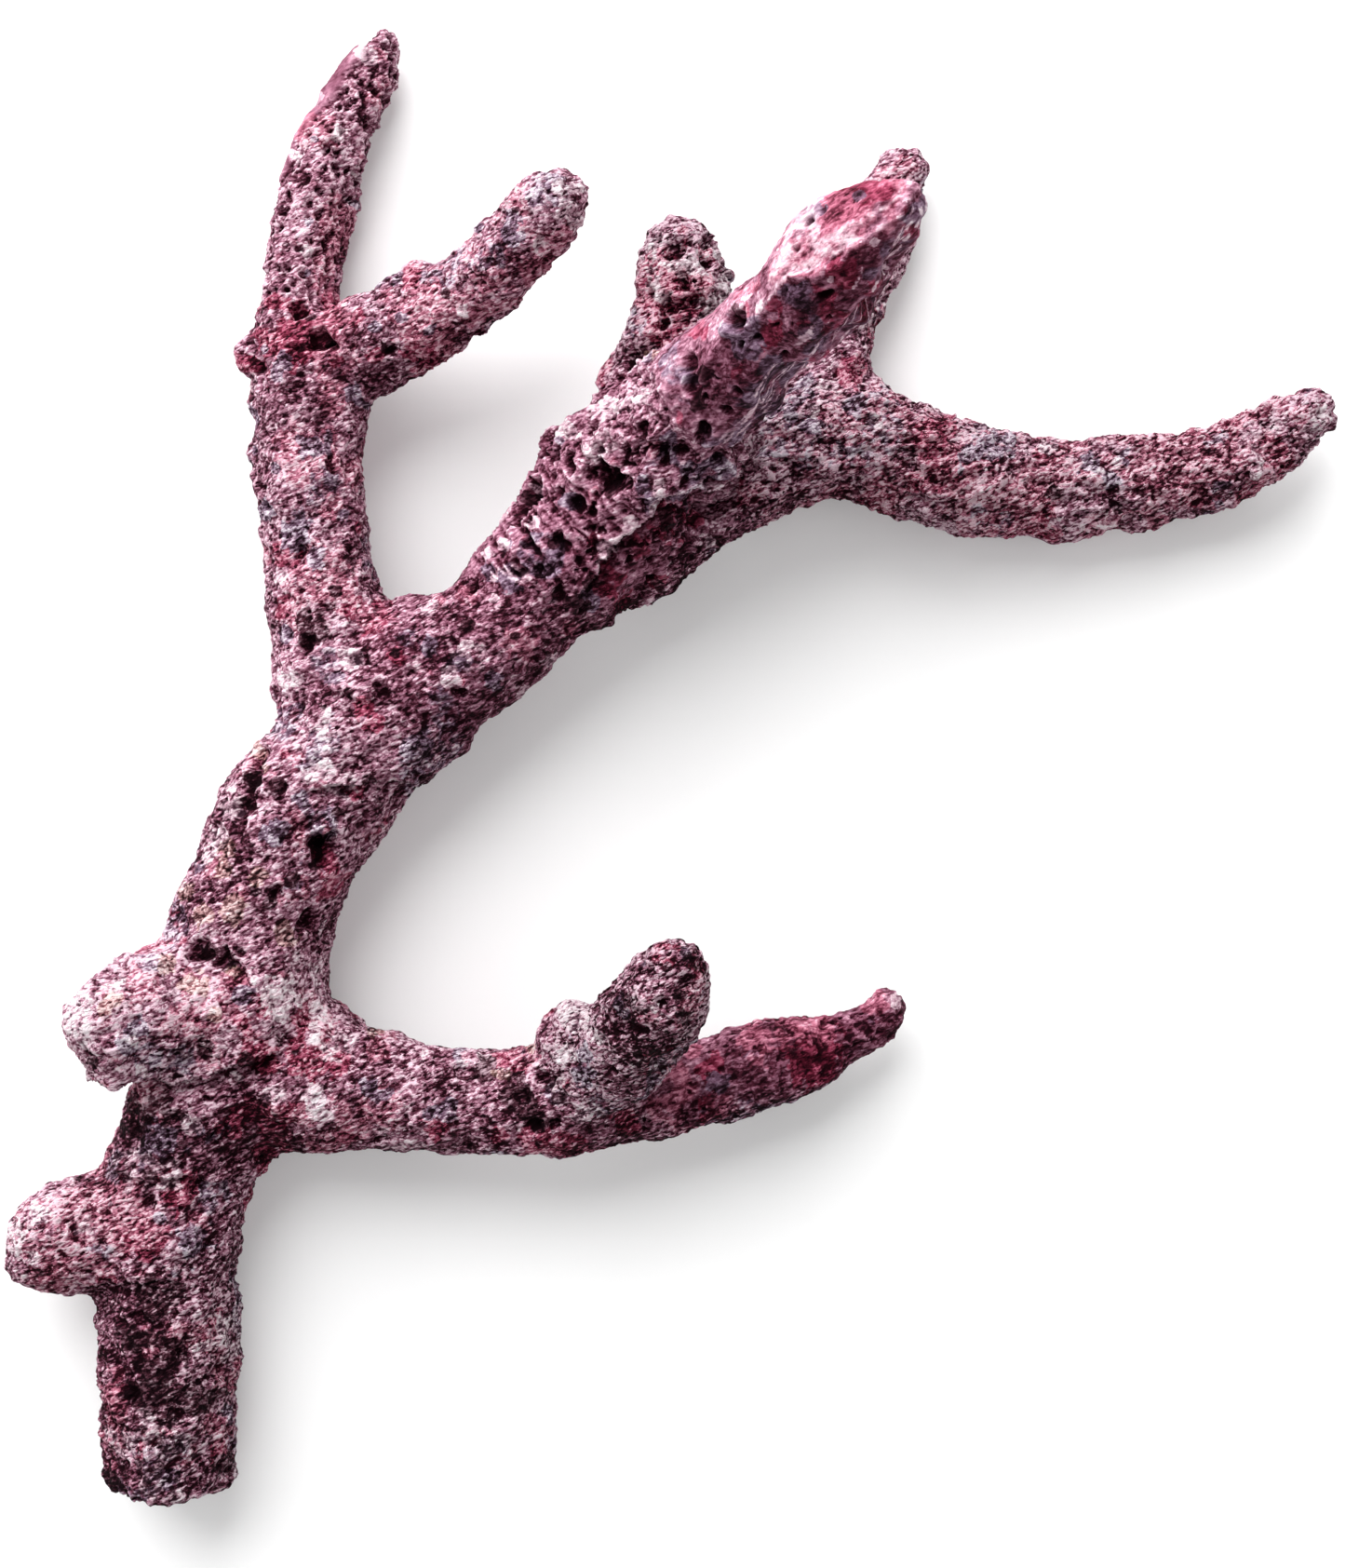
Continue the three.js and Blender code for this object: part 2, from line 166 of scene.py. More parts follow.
# Single holes and hollows: place on the surface, radius, depth
HOLLOWS = [
    # raised prong and its facet
    (149.5, 266.5, 91, 1.5, 1.8), (141, 266.5, 88, 1.1, 1.4), (140, 261.5, 81, 1.1, 1.4),
    (143.5, 260.5, 83.5, 1, 1.2), (135.5, 260, 75, 1.1, 1.4), (133.5, 258.5, 72.5, 1.2, 1.4),
    (142.5, 256.5, 74, 1.5, 1.8), (151, 261.5, 86.5, 1, 1.2), (133.5, 250.5, 63, 1.2, 1.4),
    (125.5, 250, 58, 1.5, 1.6), (130, 247, 56.5, 1.8, 2), (146, 271.5, 92, 0.9, 1),
    (147, 282, 89.5, 1.8, 1.8), (147.8, 284, 91.5, 1.5, 1.5), (156, 284.5, 96, 1.1, 1.2),
    (160, 281, 101.5, 1.3, 1.6), (133, 265, 74, 2.6, 2.8), (131, 264.5, 72, 2, 2.2),
    # knot under it
    (120.5, 239.5, 45, 2, 2.2), (117, 238, 43, 1.8, 2), (129, 234.5, 36.5, 2.6, 2.8),
    (134.5, 241, 40.5, 2.2, 2.4), (125, 243.5, 50, 2.6, 2.4), (105, 248, 38, 1.7, 2),
    (104.5, 235.5, 35.5, 4, 3.6), (108, 234, 36.5, 2.4, 2.4), (91, 241.5, 24, 2.6, 2.8),
    (96.5, 240, 30.5, 2.2, 2.6), (100, 250.5, 25.5, 1.6, 1.8), (112.5, 251.5, 45, 1.4, 1.6),
    (114.5, 246, 46, 1.5, 1.8), (108.5, 242, 40, 1.4, 1.6), (122, 233.5, 40, 1.5, 1.6),
    (122.5, 258, 56.5, 3, 1.8), (122.5, 253, 57.5, 3, 2), (109.5, 264, 25.5, 3.6, 1.8),
    (113.5, 266, 27.5, 2.8, 1.6), (107, 260.5, 24, 2.4, 1.4),
    # tip of the arm
    (259, 254.5, 1, 3, 2), (262.5, 250, 5, 2, 1.4), (249, 245.5, 6, 2, 1),
    # right limb
    (86.5, 233.5, 20.5, 4, 4.4), (85.2, 230.5, 20.5, 2.8, 3), (83, 228.5, 20.5, 2.4, 2.6),
    (92, 223, 28, 2, 2), (94, 221, 28, 2, 2), (85.5, 222.5, 25.5, 1.6, 1.8),
    (87, 220.5, 25.5, 1.6, 1.8), (72.5, 212.5, 19, 1.8, 1.6), (92.5, 210, 25, 2.2, 1.8),
    (84.5, 216, 25, 2, 2), (87.5, 240.5, 18, 2.4, 2.2), (97.5, 230.5, 30, 2.4, 2.4),
    (46.5, 196.5, 17, 2.6, 2), (52.5, 187.5, 22.5, 2.4, 1.8), (58.5, 193, 22, 2, 1.6),
    (70.5, 188, 20.5, 2, 1.6),
    # top stub
    (119, 275, 28, 3.2, 3.4), (123.5, 276.5, 27, 2.8, 3), (119.5, 288, 27, 3.4, 2.6),
    (123.5, 289.5, 26.5, 2.6, 2), (127.5, 285.5, 25.5, 2.2, 2), (115, 292, 23, 2.2, 1.8),
    (114, 281.5, 26, 1.8, 1.8), (121.5, 281, 29, 2, 2.2),
    # left limb and its fork
    (32.5, 278.5, 8, 3, 2.6), (36.5, 270, 12, 3.2, 2.8), (39, 268.5, 13, 2.2, 2),
    (52.5, 267, 16.5, 2.6, 2.4), (63.5, 264.5, 12.5, 2.2, 1.8), (21, 265.5, 7.5, 3.6, 2.4),
    (21.5, 237, 5.5, 2.6, 2), (23.5, 231.5, 8, 2.6, 2), (39, 241.5, 11.5, 1.8, 1.6),
    (31, 220.5, 12.5, 2, 1.6), (34.5, 200, 15, 2.6, 1.8),
    # trunk
    (39.5, 151, 19, 4, 4.4), (37.5, 153.5, 20, 2.6, 2.4), (23, 172.5, 15.5, 4, 2.2),
    (22, 167, 18, 3.6, 2.2), (20.5, 162, 20, 3.6, 2), (10.5, 129, 20.5, 3.4, 2),
    (16, 126.5, 22.5, 3.2, 2), (19.5, 123.5, 22.5, 2.6, 1.5), (28.5, 165.5, 21, 2.2, 1.6),
    (35, 158, 20.5, 2.2, 1.6), (29, 142, 22.5, 2.4, 1.8), (34.5, 136, 16, 2.8, 2),
    (-4.5, 42.5, 15.5, 2.6, 1.2), (6, 37, 14.5, 2.6, 1.2), (-6.5, 25, 15, 2.6, 1.2),
    (4, 21, 15.5, 2.6, 1.2), (12.5, 30, 9, 2.2, 1.2), (-2, 70.5, 17, 2.2, 1.4),
    # lower limb and its stub
    (71, 100.5, 15.5, 2.8, 1.6), (84, 94.5, 19.5, 2.8, 1.6), (87.5, 87, 18.5, 2.8, 1.6),
    (89.5, 99, 20.5, 2.4, 1.8), (112.5, 112.5, 48, 2.2, 1.6), (117.5, 118.5, 56, 1.8, 1.4),
    (121.5, 123.5, 56, 1.6, 1.4), (92.5, 88, 19.5, 2, 1.4),
]

# Small domed growths: place, radius, height
BLOBS = [
    (94.5, 248, 24, 3, 1.8), (97.5, 249.5, 25, 2.2, 1.4), (92, 245.5, 23, 2.2, 1.4),
    (98.5, 246, 30.5, 2, 1.2), (130, 263, 70, 2.4, 1.6), (115.5, 243, 46, 3.4, 1.6),
    (254, 242.5, 4.5, 4, 1.8), (257.5, 241, 4, 3, 1.4),
]

# Broad shaping of the limbs: place, radius, and how far the surface moves out
SHAPING = [
    # left limb, its prong and spire
    (75, 295, 22, 3, 1.2), (80, 302, 24, 4, -1.6), (87, 307, 27, 5, -0.8), (72, 296, 18, 3, -1),
    (17, 268, 0, 5, 3.2), (17.5, 258, 0, 4, 1.6), (17.5, 240, 0, 2.6, 2.8),
    (19, 232, 0, 2.8, 2.8), (19, 224, 0, 2.6, 1.6), (59, 290, 10, 4, 1.8),
    (49, 344, -8, 6, 1.6), (41, 341, -6, 5, 0.8), (36, 334, -6, 4, 0.8), (29, 320, -7, 5, 0.2),
    (66, 216, 5, 8, -2), (23.5, 199, 3, 7, -1.6), (19.5, 234, 0, 6, 0.8), (19, 246, 0, 3, 1.6),
    # top stub
    (119, 293, 18, 7, 1.3), (130, 284, 18, 5, 1.8), (110, 283, 17, 6, -1), (108, 272, 16, 6, -1),
    # facet and tip of the rear prong
    (151.5, 286.5, 88, 8, 0.6), (158, 291, 90, 5, 1.4), (162, 317, -7, 7, -3.6), (178, 316, -5, 5, 2.2),
    # lower side of the raised prong
    (167, 276, 97, 4.5, -1.8), (166, 270, 91, 6, -4.8), (161, 264, 84, 6, -4.4),
    (168, 270, 84, 6, -3.6), (164, 265, 79, 5, -2.8),
    (154, 258, 76, 5.5, -3.4), (145, 252, 62, 8, -3.6), (142, 249, 53, 8, -3.2),
    (138, 246, 44, 6, -2.6),
    # trunk and right limb
    (12, 167, 4, 4, 0.4), (7, 156, 4, 4, 0.6), (62.5, 168, 4, 4, -0.6), (46.5, 150, 4, 6, 1.2),
    (71, 174, 5, 4, 1), (127, 220, 0, 11, -3), (137, 223, 0, 5, -1.2), (104, 206, 5, 6, 1.8),
    (110, 210, 3, 5, 2), (135, 240, 20, 6, 1.6),
    (165, 233, -2, 7, 1.8), (-16.5, 104, 27, 7, -2), (-25, 47, 6, 6, 1.6),
    (23, 78, 2, 4, 1.2), (-17, 79, 2, 4, 1.6),
    # lower limb, its stub and prong
    (42.5, 114, 4, 3, 0.8), (48, 111, 4, 6, -1.6), (86, 110, 10, 4, -1.2), (95, 116, 20, 5, 2.2),
    (104, 125, 38, 6, -2.4), (110, 128.5, 45, 5, -1.4), (92.5, 115.5, 13, 5, 1.2),
    (121, 132, 50, 8, 1.8), (126, 107, 4, 5, -1.8), (154, 95, -3, 8, -1.4),
    (165, 102, -3, 6, -1.2), (124, 85, -1, 8, -1.4), (170, 119, -1, 7, 1.8),
    # right arm
    (168, 261, -3, 4, 0.8), (167, 266, -5, 5, -1.2), (176, 258, -2, 5, -1.6),
    (203, 251, -4, 8, 1.2), (225, 250, -4, 8, -0.4), (256, 256, -2, 7, -0.2), (275, 262, 0, 6, 1.6),
    (232, 227, -4, 8, 1.2), (212, 226, -4, 6, 0.8), (250, 231, -4, 6, 1),
]

# Crest along the lower side of the facet, from the knot to the tip of the prong
CREST = [
    (125, 253.5, 60.5), (129, 261.5, 68), (135, 262.5, 76.5), (139.5, 266, 85),
    (142.5, 269.5, 89), (149, 269.5, 93.5), (154, 273.5, 98.5), (159.5, 276, 100),
    (165, 281.5, 102.5), (167.5, 285.5, 100.5),
]

# Heights between which the facet begins, and the places to the right where its crimson end does
FACET_BEGINS = (80, 86)
CRIMSON_BEGINS = (147.5, 151)

# Ledges on the front: places along the edge, how far its upper left side stands out, how far
# the other side is sunk
LEDGES = [
    # rim of the knot over the rear limb
    ([(99.5, 212), (102.8, 214.5), (104.5, 219.6), (109, 223.5), (114, 226.7), (118.5, 230.5),
      (127, 232), (132.3, 233.5), (135.2, 239), (137, 246)], 0.9, 3.2),
    # under the high stub, and the step across the trunk under it
    ([(-12, 99.5), (-4.5, 100), (2, 98.5), (12.5, 99), (19, 102), (25, 104.5)], 0.9, 2.6),
    ([(-10.5, 76), (-1, 75), (6.5, 76.5), (11, 74.5), (16, 75.5), (20, 75.5)], 0.7, 0.9),
    # under the foot stub
    ([(-15.5, 49), (-6.5, 51.5), (2, 52)], 0.5, 0.9),
    # where the right limb leaves the trunk
    ([(42, 189), (47, 186.5), (53.5, 185.5)], 0.3, 1.3),
    ([(38, 166.5), (45.5, 167.5), (53.5, 167), (60.5, 167.5)], 0.7, 1.4),
]

# Stretches with a crisper grain, or a softer one where it is below 0: the stretch, and how much
CRISP = [
    (ARM, 0.3), (TOP_STUB, 0.4), (FOOT_STUB, 0.1), (((104, 104, 20), (122, 126, 50), 12, 4), 0.5),
    (((34, 200, 2), (30, 270, 2), 14, 6), -0.15), (((8, -8, 2), (8, 50, 2), 12, 6), 0.35),
    (RIGHT_LIMB, -0.32), (TRUNK_MIDDLE, -0.12), (((40, 270, 4), (92, 298, 28), 13, 5), -0.12),
    (((33, 290, -6), (52, 350, -8), 12, 6), -0.2), (LOW_PRONG, -0.25),
]

# Stretches where a tint is more common: the tint, the stretch, and how much
BLUSHES = [
    ("rose", ((-4, 60, 6), (-26, 60, 8), 14, 5), 0.34),
    ("rose", ((62, 278, 12), (86, 292, 26), 12, 5), 0.42),
    ("pale", ((60, 276, 10), (92, 298, 28), 13, 6), -0.16),
    ("pale", LEFT_LIMB, -0.14),
    ("pale", ((114, 98, 2), (172, 116, 0), 12, 5), -0.12),
    ("rose", ((33, 284, -5), (52, 350, -8), 12, 6), 0.32),
    ("rose", ((150, 242, -1), (272, 256, 0), 15, 6), 0.42),
    ("pale", ((142, 240, -1), (266, 252, -1), 15, 6), -0.22),
    ("slate", ((146, 240, -1), (262, 250, -2), 15, 6), -0.12),
    ("rose", LOW_PRONG, 0.25),
    ("rose", ((26, 250, 0), (34, 205, 2), 12, 5), 0.24),
    ("rose", RIGHT_LIMB, -0.12),
    ("crimson", ((40, 264, 2), (68, 282, 14), 11, 5), 0.1),
    ("crimson", ((64, 196, 8), (128, 250, 38), 16, 6), -0.22),
    ("rose", ((98, 232, 16), (128, 250, 38), 16, 6), -0.18),
    ("crimson", ((104, 212, -4), (140, 232, -6), 10, 5), 0.12),
    ("crimson", ((12, 92, 6), (34, 104, 8), 9, 5), 0.14),
    ("slate", ((-6, 86, 6), (10, 92, 8), 9, 5), 0.12),
    ("pale", ((-10, 60, 6), (-26, 60, 8), 14, 5), -0.12),
    ("slate", ((88, 112, 22), (108, 106, 34), 8, 4), 0.15),
    ("slate", ((70, 204, 12), (128, 250, 38), 14, 6), 0.18),
    ("pale", ((84, 218, 14), (118, 244, 34), 14, 6), 0.12),
]

# Patches of colour on the front: x, y, radius
PATCHES = {
    "crimson": [
        (14, 11, 5), (-24, 53, 4), (-13, 52, 2.5), (-5, 63, 7), (4, 73, 6), (17.5, 87.5, 3.5),
        (43, 84.5, 2.5), (64.5, 87.5, 3.5), (79, 86, 2.5), (108.5, 88.5, 3.5), (127, 91, 3.5),
        (128, 100, 4), (24.5, 103.5, 4.5), (33, 106, 3), (34, 113, 3), (36, 104, 5),
        (41.5, 102.5, 3), (152, 103, 8), (29.5, 174, 1.5), (46, 165, 2), (44.5, 208.5, 3.5),
        (47, 184.5, 3), (49, 185.5, 2), (50, 205.5, 5), (51, 181, 2.5), (55.5, 196.5, 3),
        (63.5, 193, 1.5), (70.5, 191, 1.5), (90, 218, 1.5), (104, 213, 5), (115, 214.5, 2.5),
        (85.5, 223, 1.5), (101, 222, 2), (112, 220.5, 3), (117.5, 225, 4), (124.5, 228, 3),
        (139, 260, 3), (175.5, 237.5, 3), (181, 249, 5), (184, 253, 2), (197.5, 227, 4.5),
        (203, 232, 6.5), (242.5, 236, 4), (19, 266.5, 2), (24.5, 280.5, 2.5), (29, 270, 9),
        (32, 279.5, 2), (38.5, 282.5, 2), (40, 265.5, 2), (45.5, 275, 2), (50.5, 266.5, 2.5),
        (58, 284.5, 3), (62, 266, 6), (65, 281.5, 2), (93, 269, 4), (121, 279, 8),
        (126.5, 288.5, 2), (153, 269.5, 3.2), (161, 264, 4), (167.5, 278, 2.5),
    ],
    "rose": [
        (6, 12, 3), (12.5, 16, 4), (7, 37.5, 2), (13.5, 27, 2.5), (-12, 69, 8), (-20, 58, 8), (-3, 65, 4),
        (-8, 119.5, 3.5), (-8, 115, 2.5), (-1.5, 122.5, 5.5), (4, 112, 2), (8, 113.5, 4),
        (38, 112, 3), (50.5, 106.5, 3.5), (117.5, 102.5, 3), (123.5, 104.5, 2.5), (138.5, 106, 4.5),
        (149, 112, 7), (154, 109, 4), (166.5, 114.5, 3), (35, 157, 5), (38, 215, 8),
        (64.5, 209, 2.5), (71.5, 211.5, 3), (84, 200, 5), (95.5, 203, 2.5), (34, 243, 8),
        (40, 231.5, 3), (44.5, 241, 4.5), (100, 229.5, 1.5), (101, 232, 2), (114, 241, 2),
        (193, 233, 7), (214, 247.5, 3), (235, 242, 4.5), (243, 244, 9), (246.5, 249, 5.5),
        (63, 275, 7), (66, 267.5, 2), (73.5, 286.5, 2.5), (77.5, 281.5, 3.5), (87, 282.5, 2),
        (134, 269.5, 2.5), (152, 281, 6), (34, 323, 5), (36.5, 325, 2), (42, 300, 7), (48, 331, 2),
        (48.5, 341.5, 2),
    ],
    "slate": [
        (2, 6, 2.5), (4, 54, 1.5), (-3.5, 80.5, 3), (0.5, 67, 2), (1, 84, 5), (8, 61, 4),
        (10, 87, 2), (38, 94, 2.5), (49.5, 97, 2.5), (53, 96, 2.5), (65, 92, 3.5),
        (92.5, 95.5, 2.5), (129.5, 97.5, 3), (-3, 108.5, 2.5), (-1, 111.5, 3), (21, 119, 2.5),
        (98, 106, 3), (98.5, 101, 3), (9, 148, 2), (28, 156, 3.5), (34, 163, 2), (60, 175, 3.5),
        (28, 202, 2.5), (36, 219.5, 3), (63.5, 198, 2.5), (70.5, 195.5, 3), (76.5, 216, 2.5),
        (78, 191, 2.5), (81, 214, 4), (99.5, 209, 2.5), (23, 231, 3), (26, 240.5, 2),
        (30.5, 225, 4), (35, 246, 4), (44.5, 258, 2.5), (81, 222, 1.5), (93, 246, 1.2),
        (95, 231, 2), (122, 236, 1.5), (129, 237.5, 1.5), (135, 258, 2.5), (140, 254, 2.5),
        (144, 246, 2), (146.5, 253, 2), (151, 251, 3), (161.5, 255.5, 3), (186, 240, 2),
        (188, 244, 4), (193.5, 246.5, 3.5), (198.5, 248.5, 2), (217, 242, 3.5), (222, 238.5, 3.5),
        (225, 244.5, 2), (226, 242, 2), (22.5, 269, 1.5), (27.5, 262.5, 2), (28, 265, 3),
        (33, 288, 1), (50, 272.5, 1.5), (56.5, 274.5, 1.5), (63, 271, 1.5), (74, 294, 1.5),
        (83, 293, 3), (83, 290, 2.5), (147.5, 282.5, 2.5), (156, 284.5, 1.4), (32.5, 300, 1.5),
        (34, 320, 1), (43, 306, 1.5),
    ],
    "pale": [
        # the pale patches at the left ends of both stubs and on the trunk's left edge are painted
        # highlight
        (-2, 19, 1.5), (-29, 57, 2), (-5.5, 36.5, 1), (8.5, 44, 0.8), (14, 35.5, 0.8), (-34, 62, 4.5),
        (-28.5, 68, 2.5), (-26, 60, 0.8), (-21, 63.5, 0.8), (-11.5, 69.5, 0.8), (8.5, 88, 3),
        (19.5, 99, 1.5), (37, 93.5, 4), (-17.5, 118, 2.5), (-15, 114, 4), (-7, 121, 2.5),
        (-2, 109, 1.5), (-1.5, 101.5, 1.5), (23, 122, 1.5), (28.5, 118.5, 4.5), (28.5, 114, 2.2),
        (36, 111, 1.2), (61, 104.5, 1.5), (75.5, 102.5, 2), (94.5, 106, 3), (97, 113.5, 3.5),
        (103, 110.5, 2), (114.5, 118.5, 1.3), (125, 122.5, 1.5), (172, 115, 1.5), (11, 150, 2.5),
        (13, 155, 3), (16.5, 161, 2.5), (17.5, 165.5, 1.5), (38, 180, 2), (38, 178, 1.3),
        (38.5, 171, 2), (40, 169.5, 1.5), (27, 215.5, 1.5), (28, 191.5, 2.5), (31, 191.5, 2),
        (39.5, 183.5, 2), (44, 196.5, 2.5), (62, 207.5, 2.5), (68, 191, 2.5), (71.5, 198, 2.5),
        (78, 209.5, 1.5), (78, 214.5, 1.5), (84, 188, 2), (91, 195.5, 2), (104.5, 219, 2),
        (76.5, 220, 1.5), (80, 222, 2), (86.5, 227, 2), (87, 235, 2), (95, 247.5, 2),
        (97.5, 246, 1.2), (104, 252.5, 2), (109.5, 226, 1.5), (116, 229.5, 2), (116, 233, 2),
        (128.5, 223, 1.5), (152, 254, 2), (158, 249.5, 1.2), (167, 251.5, 2), (171, 251.5, 1.2),
        (208, 246, 3), (216, 228, 0.8), (219.5, 240.5, 1.5), (223.5, 243, 1.5), (256, 240.5, 1.5),
        (257, 243, 1.3), (261, 250.5, 2), (270.5, 254, 3), (18.5, 261.5, 2), (32.5, 293, 1.8),
        (71, 275, 1.5), (89.5, 287.5, 2), (95.5, 295, 3), (97, 294, 3), (134, 268, 1),
        (137, 265, 1), (150.5, 268, 0.8), (159, 274.5, 1), (29, 317, 1.5), (33.5, 331, 2),
        (39.5, 322, 2), (44.5, 312.5, 1.5), (94, 300, 2.5),
        (97.5, 300.5, 2), (46, 341, 3),
    ],
    "dark": [
        (-13, 3, 3), (0, 15, 1.5), (14, 7, 3), (-6.5, 40, 2.5), (-4.5, 38, 4.5), (-4.5, 25, 4),
        (-4.5, 32.5, 2.5), (-2, 53, 1.5), (-1.5, 46.5, 5), (-1, 29.5, 4.5), (0, 25, 3.5),
        (0.5, 38.5, 2.5), (2, 20.5, 2.5), (3, 36, 4.5), (3.5, 48, 2.5), (4, 50, 2), (6.5, 25, 4.5),
        # the dark patches at y 86 to 94 are painted shadow under the high stub
        (11, 23.5, 2.5), (-10.5, 86.5, 2.5), (-6.5, 93, 3.5), (-6, 86.5, 3), (-2, 76.5, 1.6),
        (-1.5, 92, 3), (2, 94, 2.5), (3, 91, 3), (3, 74.5, 1.6), (82, 95.5, 4), (83.5, 100, 2),
        (85, 92.5, 3.5), (88.5, 89, 3), (93, 95, 2), (-12.5, 104, 2), (12, 128.5, 2.5),
        (12.5, 105.5, 2), (17, 126, 2), (21.5, 103, 2), (28.5, 108, 1.2), (76, 101, 3),
        (109, 120, 2), (112.5, 118, 1.5), (117.5, 127, 1.5), (121, 121, 2), (121.5, 116.5, 2),
        (20, 163, 2), (21.5, 168.5, 2.5), (23.5, 142.5, 1.5), (27, 140, 2), (28, 166.5, 2.5),
        (31.5, 145, 1.6), (37, 148.5, 1.5), (38.5, 152, 2.5), (41.5, 161, 2), (48.5, 168, 1.5),
        (56, 167, 1.5), (61, 168, 1.5), (62, 166, 3), (33, 205.5, 2.5), (34, 201, 2.5),
        (36.5, 203, 3.5), (37, 207, 1.5), (40.5, 212, 1.5), (44.5, 188, 1.5), (55.5, 197, 1.5),
        (72, 203, 2), (83, 201, 1.5), (97, 208, 3), (101, 213, 3), (116, 212.5, 1.5),
        (85.5, 233.5, 2), (92, 221.5, 1.5), (92.5, 223, 1.2), (104.5, 232.5, 1.5),
        # the dark patches at x 208.5 and 224 are painted shade between the arm's flakes
        (105.5, 235.5, 1.8), (118.5, 225, 2), (124.5, 249, 2), (125.5, 254.5, 2), (208.5, 235.5, 2),
        (224, 232, 1.5), (34.5, 276.5, 1.5), (38, 269.5, 1.5), (51.5, 267.5, 1.5), (67, 279, 1.5),
        (84, 295.5, 1), (110, 264.5, 2.5), (132, 266.5, 1.3),
    ],
    "olive": [
        (79, 100, 2), (-8, 117, 3), (3, 125.5, 2.5), (10, 121.5, 3), (10.5, 136.5, 3),
        (14.5, 114.5, 2), (18.5, 139, 4), (18.5, 124, 2), (29.5, 134, 2), (31, 131.5, 2.5),
        (49, 109, 2), (86, 106, 1.5), (6.5, 141.5, 2.5), (16, 148, 3), (16.5, 152, 2.5),
        (22, 175, 2), (23.5, 146, 2.5), (24.5, 171, 1.5), (113, 264, 2.5),
    ],
}

# Noises of the crust: size in mm and seed, and for some the number of layers and their fading
WARP = (4.6, (11, 12, 13))
JAGGED = (1.7, (14, 15, 16))
SWELLS = (12, 21)
LUMPS = (5.2, 31)
TERRACES = (7.5, 35, 2)
NODULES = (3.1, 41)
GRAINS = (1.75, 51)
CREASES = (4.1, 61)
FINE_CREASES = (1.9, 65, 2)
LEAVES = (1.6, 71)
STRANDS = (1.2, 81)
SLITS = (2.1, 85)
PITS = (4.9, 91)
PORES = (2.5, 95)
TORN = (6.5, 101, 4, 0.7)
SAND = (1.15, 111)
CREST_NOTCHES = (3, 116, 2)
FRAYING = (3.6, 121, 4)
FINE_FRAYING = (1.5, 126, 2)
STREAKS = (1.1, 151, 3)
RED_CLOUDS = (5, 161, 2)
SLATE_CLOUDS = (7, 171, 2)

# Size in mm of the wide patches of tint, their first seed, and the step to the next tint's seed
WIDE_PATCHES = (13, 131, 7)

# Directions: across the strands of the right limb, along the raised prong, out of its lower side
# and its facet, and toward the light: painted light on faces toward it, painted shade away from it
ACROSS = np.array([0.75, 0.65, 0.1], np.float32)
PRONG_AXIS = np.array([0.51, 0.41, 0.76], np.float32)
UNDER_PRONG = np.array([0.72, -0.66, 0.2], np.float32)
FACING_OUT = np.array([-0.6, 0.52, 0.6], np.float32)
TOWARD_PAINTED_LIGHT = np.array([-0.4, 0.8, 0.45], np.float32)

# How the crumbs and the leaves are squashed, and how the pores are turned
CRUMB_SHAPE = np.array([0.8, 1.0, 0.9], np.float32)
LEAF_SHAPE = np.array([0.35, 1.2, 0.7], np.float32)
PORE_TURN = np.array([[0.85, -0.3, 0.0], [0.3, 0.85, 0.0], [0.0, 0.0, 1.0]], np.float32)


# Noise on points, all in mm

# Primes that scramble the number of a cell
HASH = [np.uint32(prime) for prime in (374761393, 668265263, 2246822519, 3266489917)]


def hashed(i, j, k, seed):
    """A number from 0 to 1 for each whole-numbered cell."""
    for_i, for_j, for_k, for_seed = HASH
    h = i.astype(np.uint32) * for_i
    h = h + j.astype(np.uint32) * for_j
    h = h + k.astype(np.uint32) * for_k + np.uint32(seed * int(for_seed) % 2**32)
    h = (h ^ (h >> np.uint32(15))) * for_k
    h = (h ^ (h >> np.uint32(13))) * for_seed
    h = h ^ (h >> np.uint32(16))
    return h.astype(np.float32) / np.float32(2**32)


def value_noise(p, size, seed):
    """Smooth noise from -1 to 1 with lumps of about this size."""
    q = p / size
    cell = np.floor(q).astype(np.int64)
    f = (q - cell).astype(np.float32)
    f = f * f * f * (f * (f * 6 - 15) + 10)
    total = np.zeros(len(p), np.float32)
    for step in product((0, 1), repeat=3):
        wx, wy, wz = (f[:, axis] if far else 1 - f[:, axis] for axis, far in enumerate(step))
        total += wx * wy * wz * hashed(*(cell + step).T, seed)
    return total * 2 - 1


def shifts(p, size, seeds):
    """Three noises side by side, to move points by."""
    return np.stack([value_noise(p, size, seed) for seed in seeds], 1)


def layered(p, size, seed, layers=3, fade=0.55, creased=False):
    """Several sizes of noise on top of each other."""
    total, weight = 0, 0
    for n in range(layers):
        if creased:
            noise = np.abs(value_noise(p + 3.7 * n, size * 0.5**n, seed + n))
        else:
            noise = value_noise(p, size * 0.5**n, seed + n)
        total = total + noise * fade**n
        weight += fade**n
    return total / weight


def lumpy(p, size, seed, layers=3):
    """Rounded lumps with sharp creases between them, from 0 to 1."""
    return layered(p, size, seed, layers, creased=True)


def cells(p, size, seed):
    """Distance to the nearest seed point, in cells, and that point's own number from 0 to 1."""
    q = p / size
    cell = np.floor(q).astype(np.int64)
    f = (q - cell).astype(np.float32)
    near = np.full(len(p), 9.0, np.float32)
    own = np.zeros(len(p), np.float32)
    for step in product((-1, 0, 1), repeat=3):
        corner = (cell + step).T
        x, y, z = (step[n] + hashed(*corner, seed + n) - f[:, n] for n in range(3))
        d = np.sqrt(x * x + y * y + z * z)
        closer = d < near
        near = np.where(closer, d, near)
        own = np.where(closer, hashed(*corner, seed + 3), own)
    return near, own


def smooth(low, high, x):
    """0 below the low value, 1 above the high one, and a soft step between them."""
    t = np.clip((x - low) / (high - low), 0, 1)
    return t * t * (3 - 2 * t)


# The smooth body


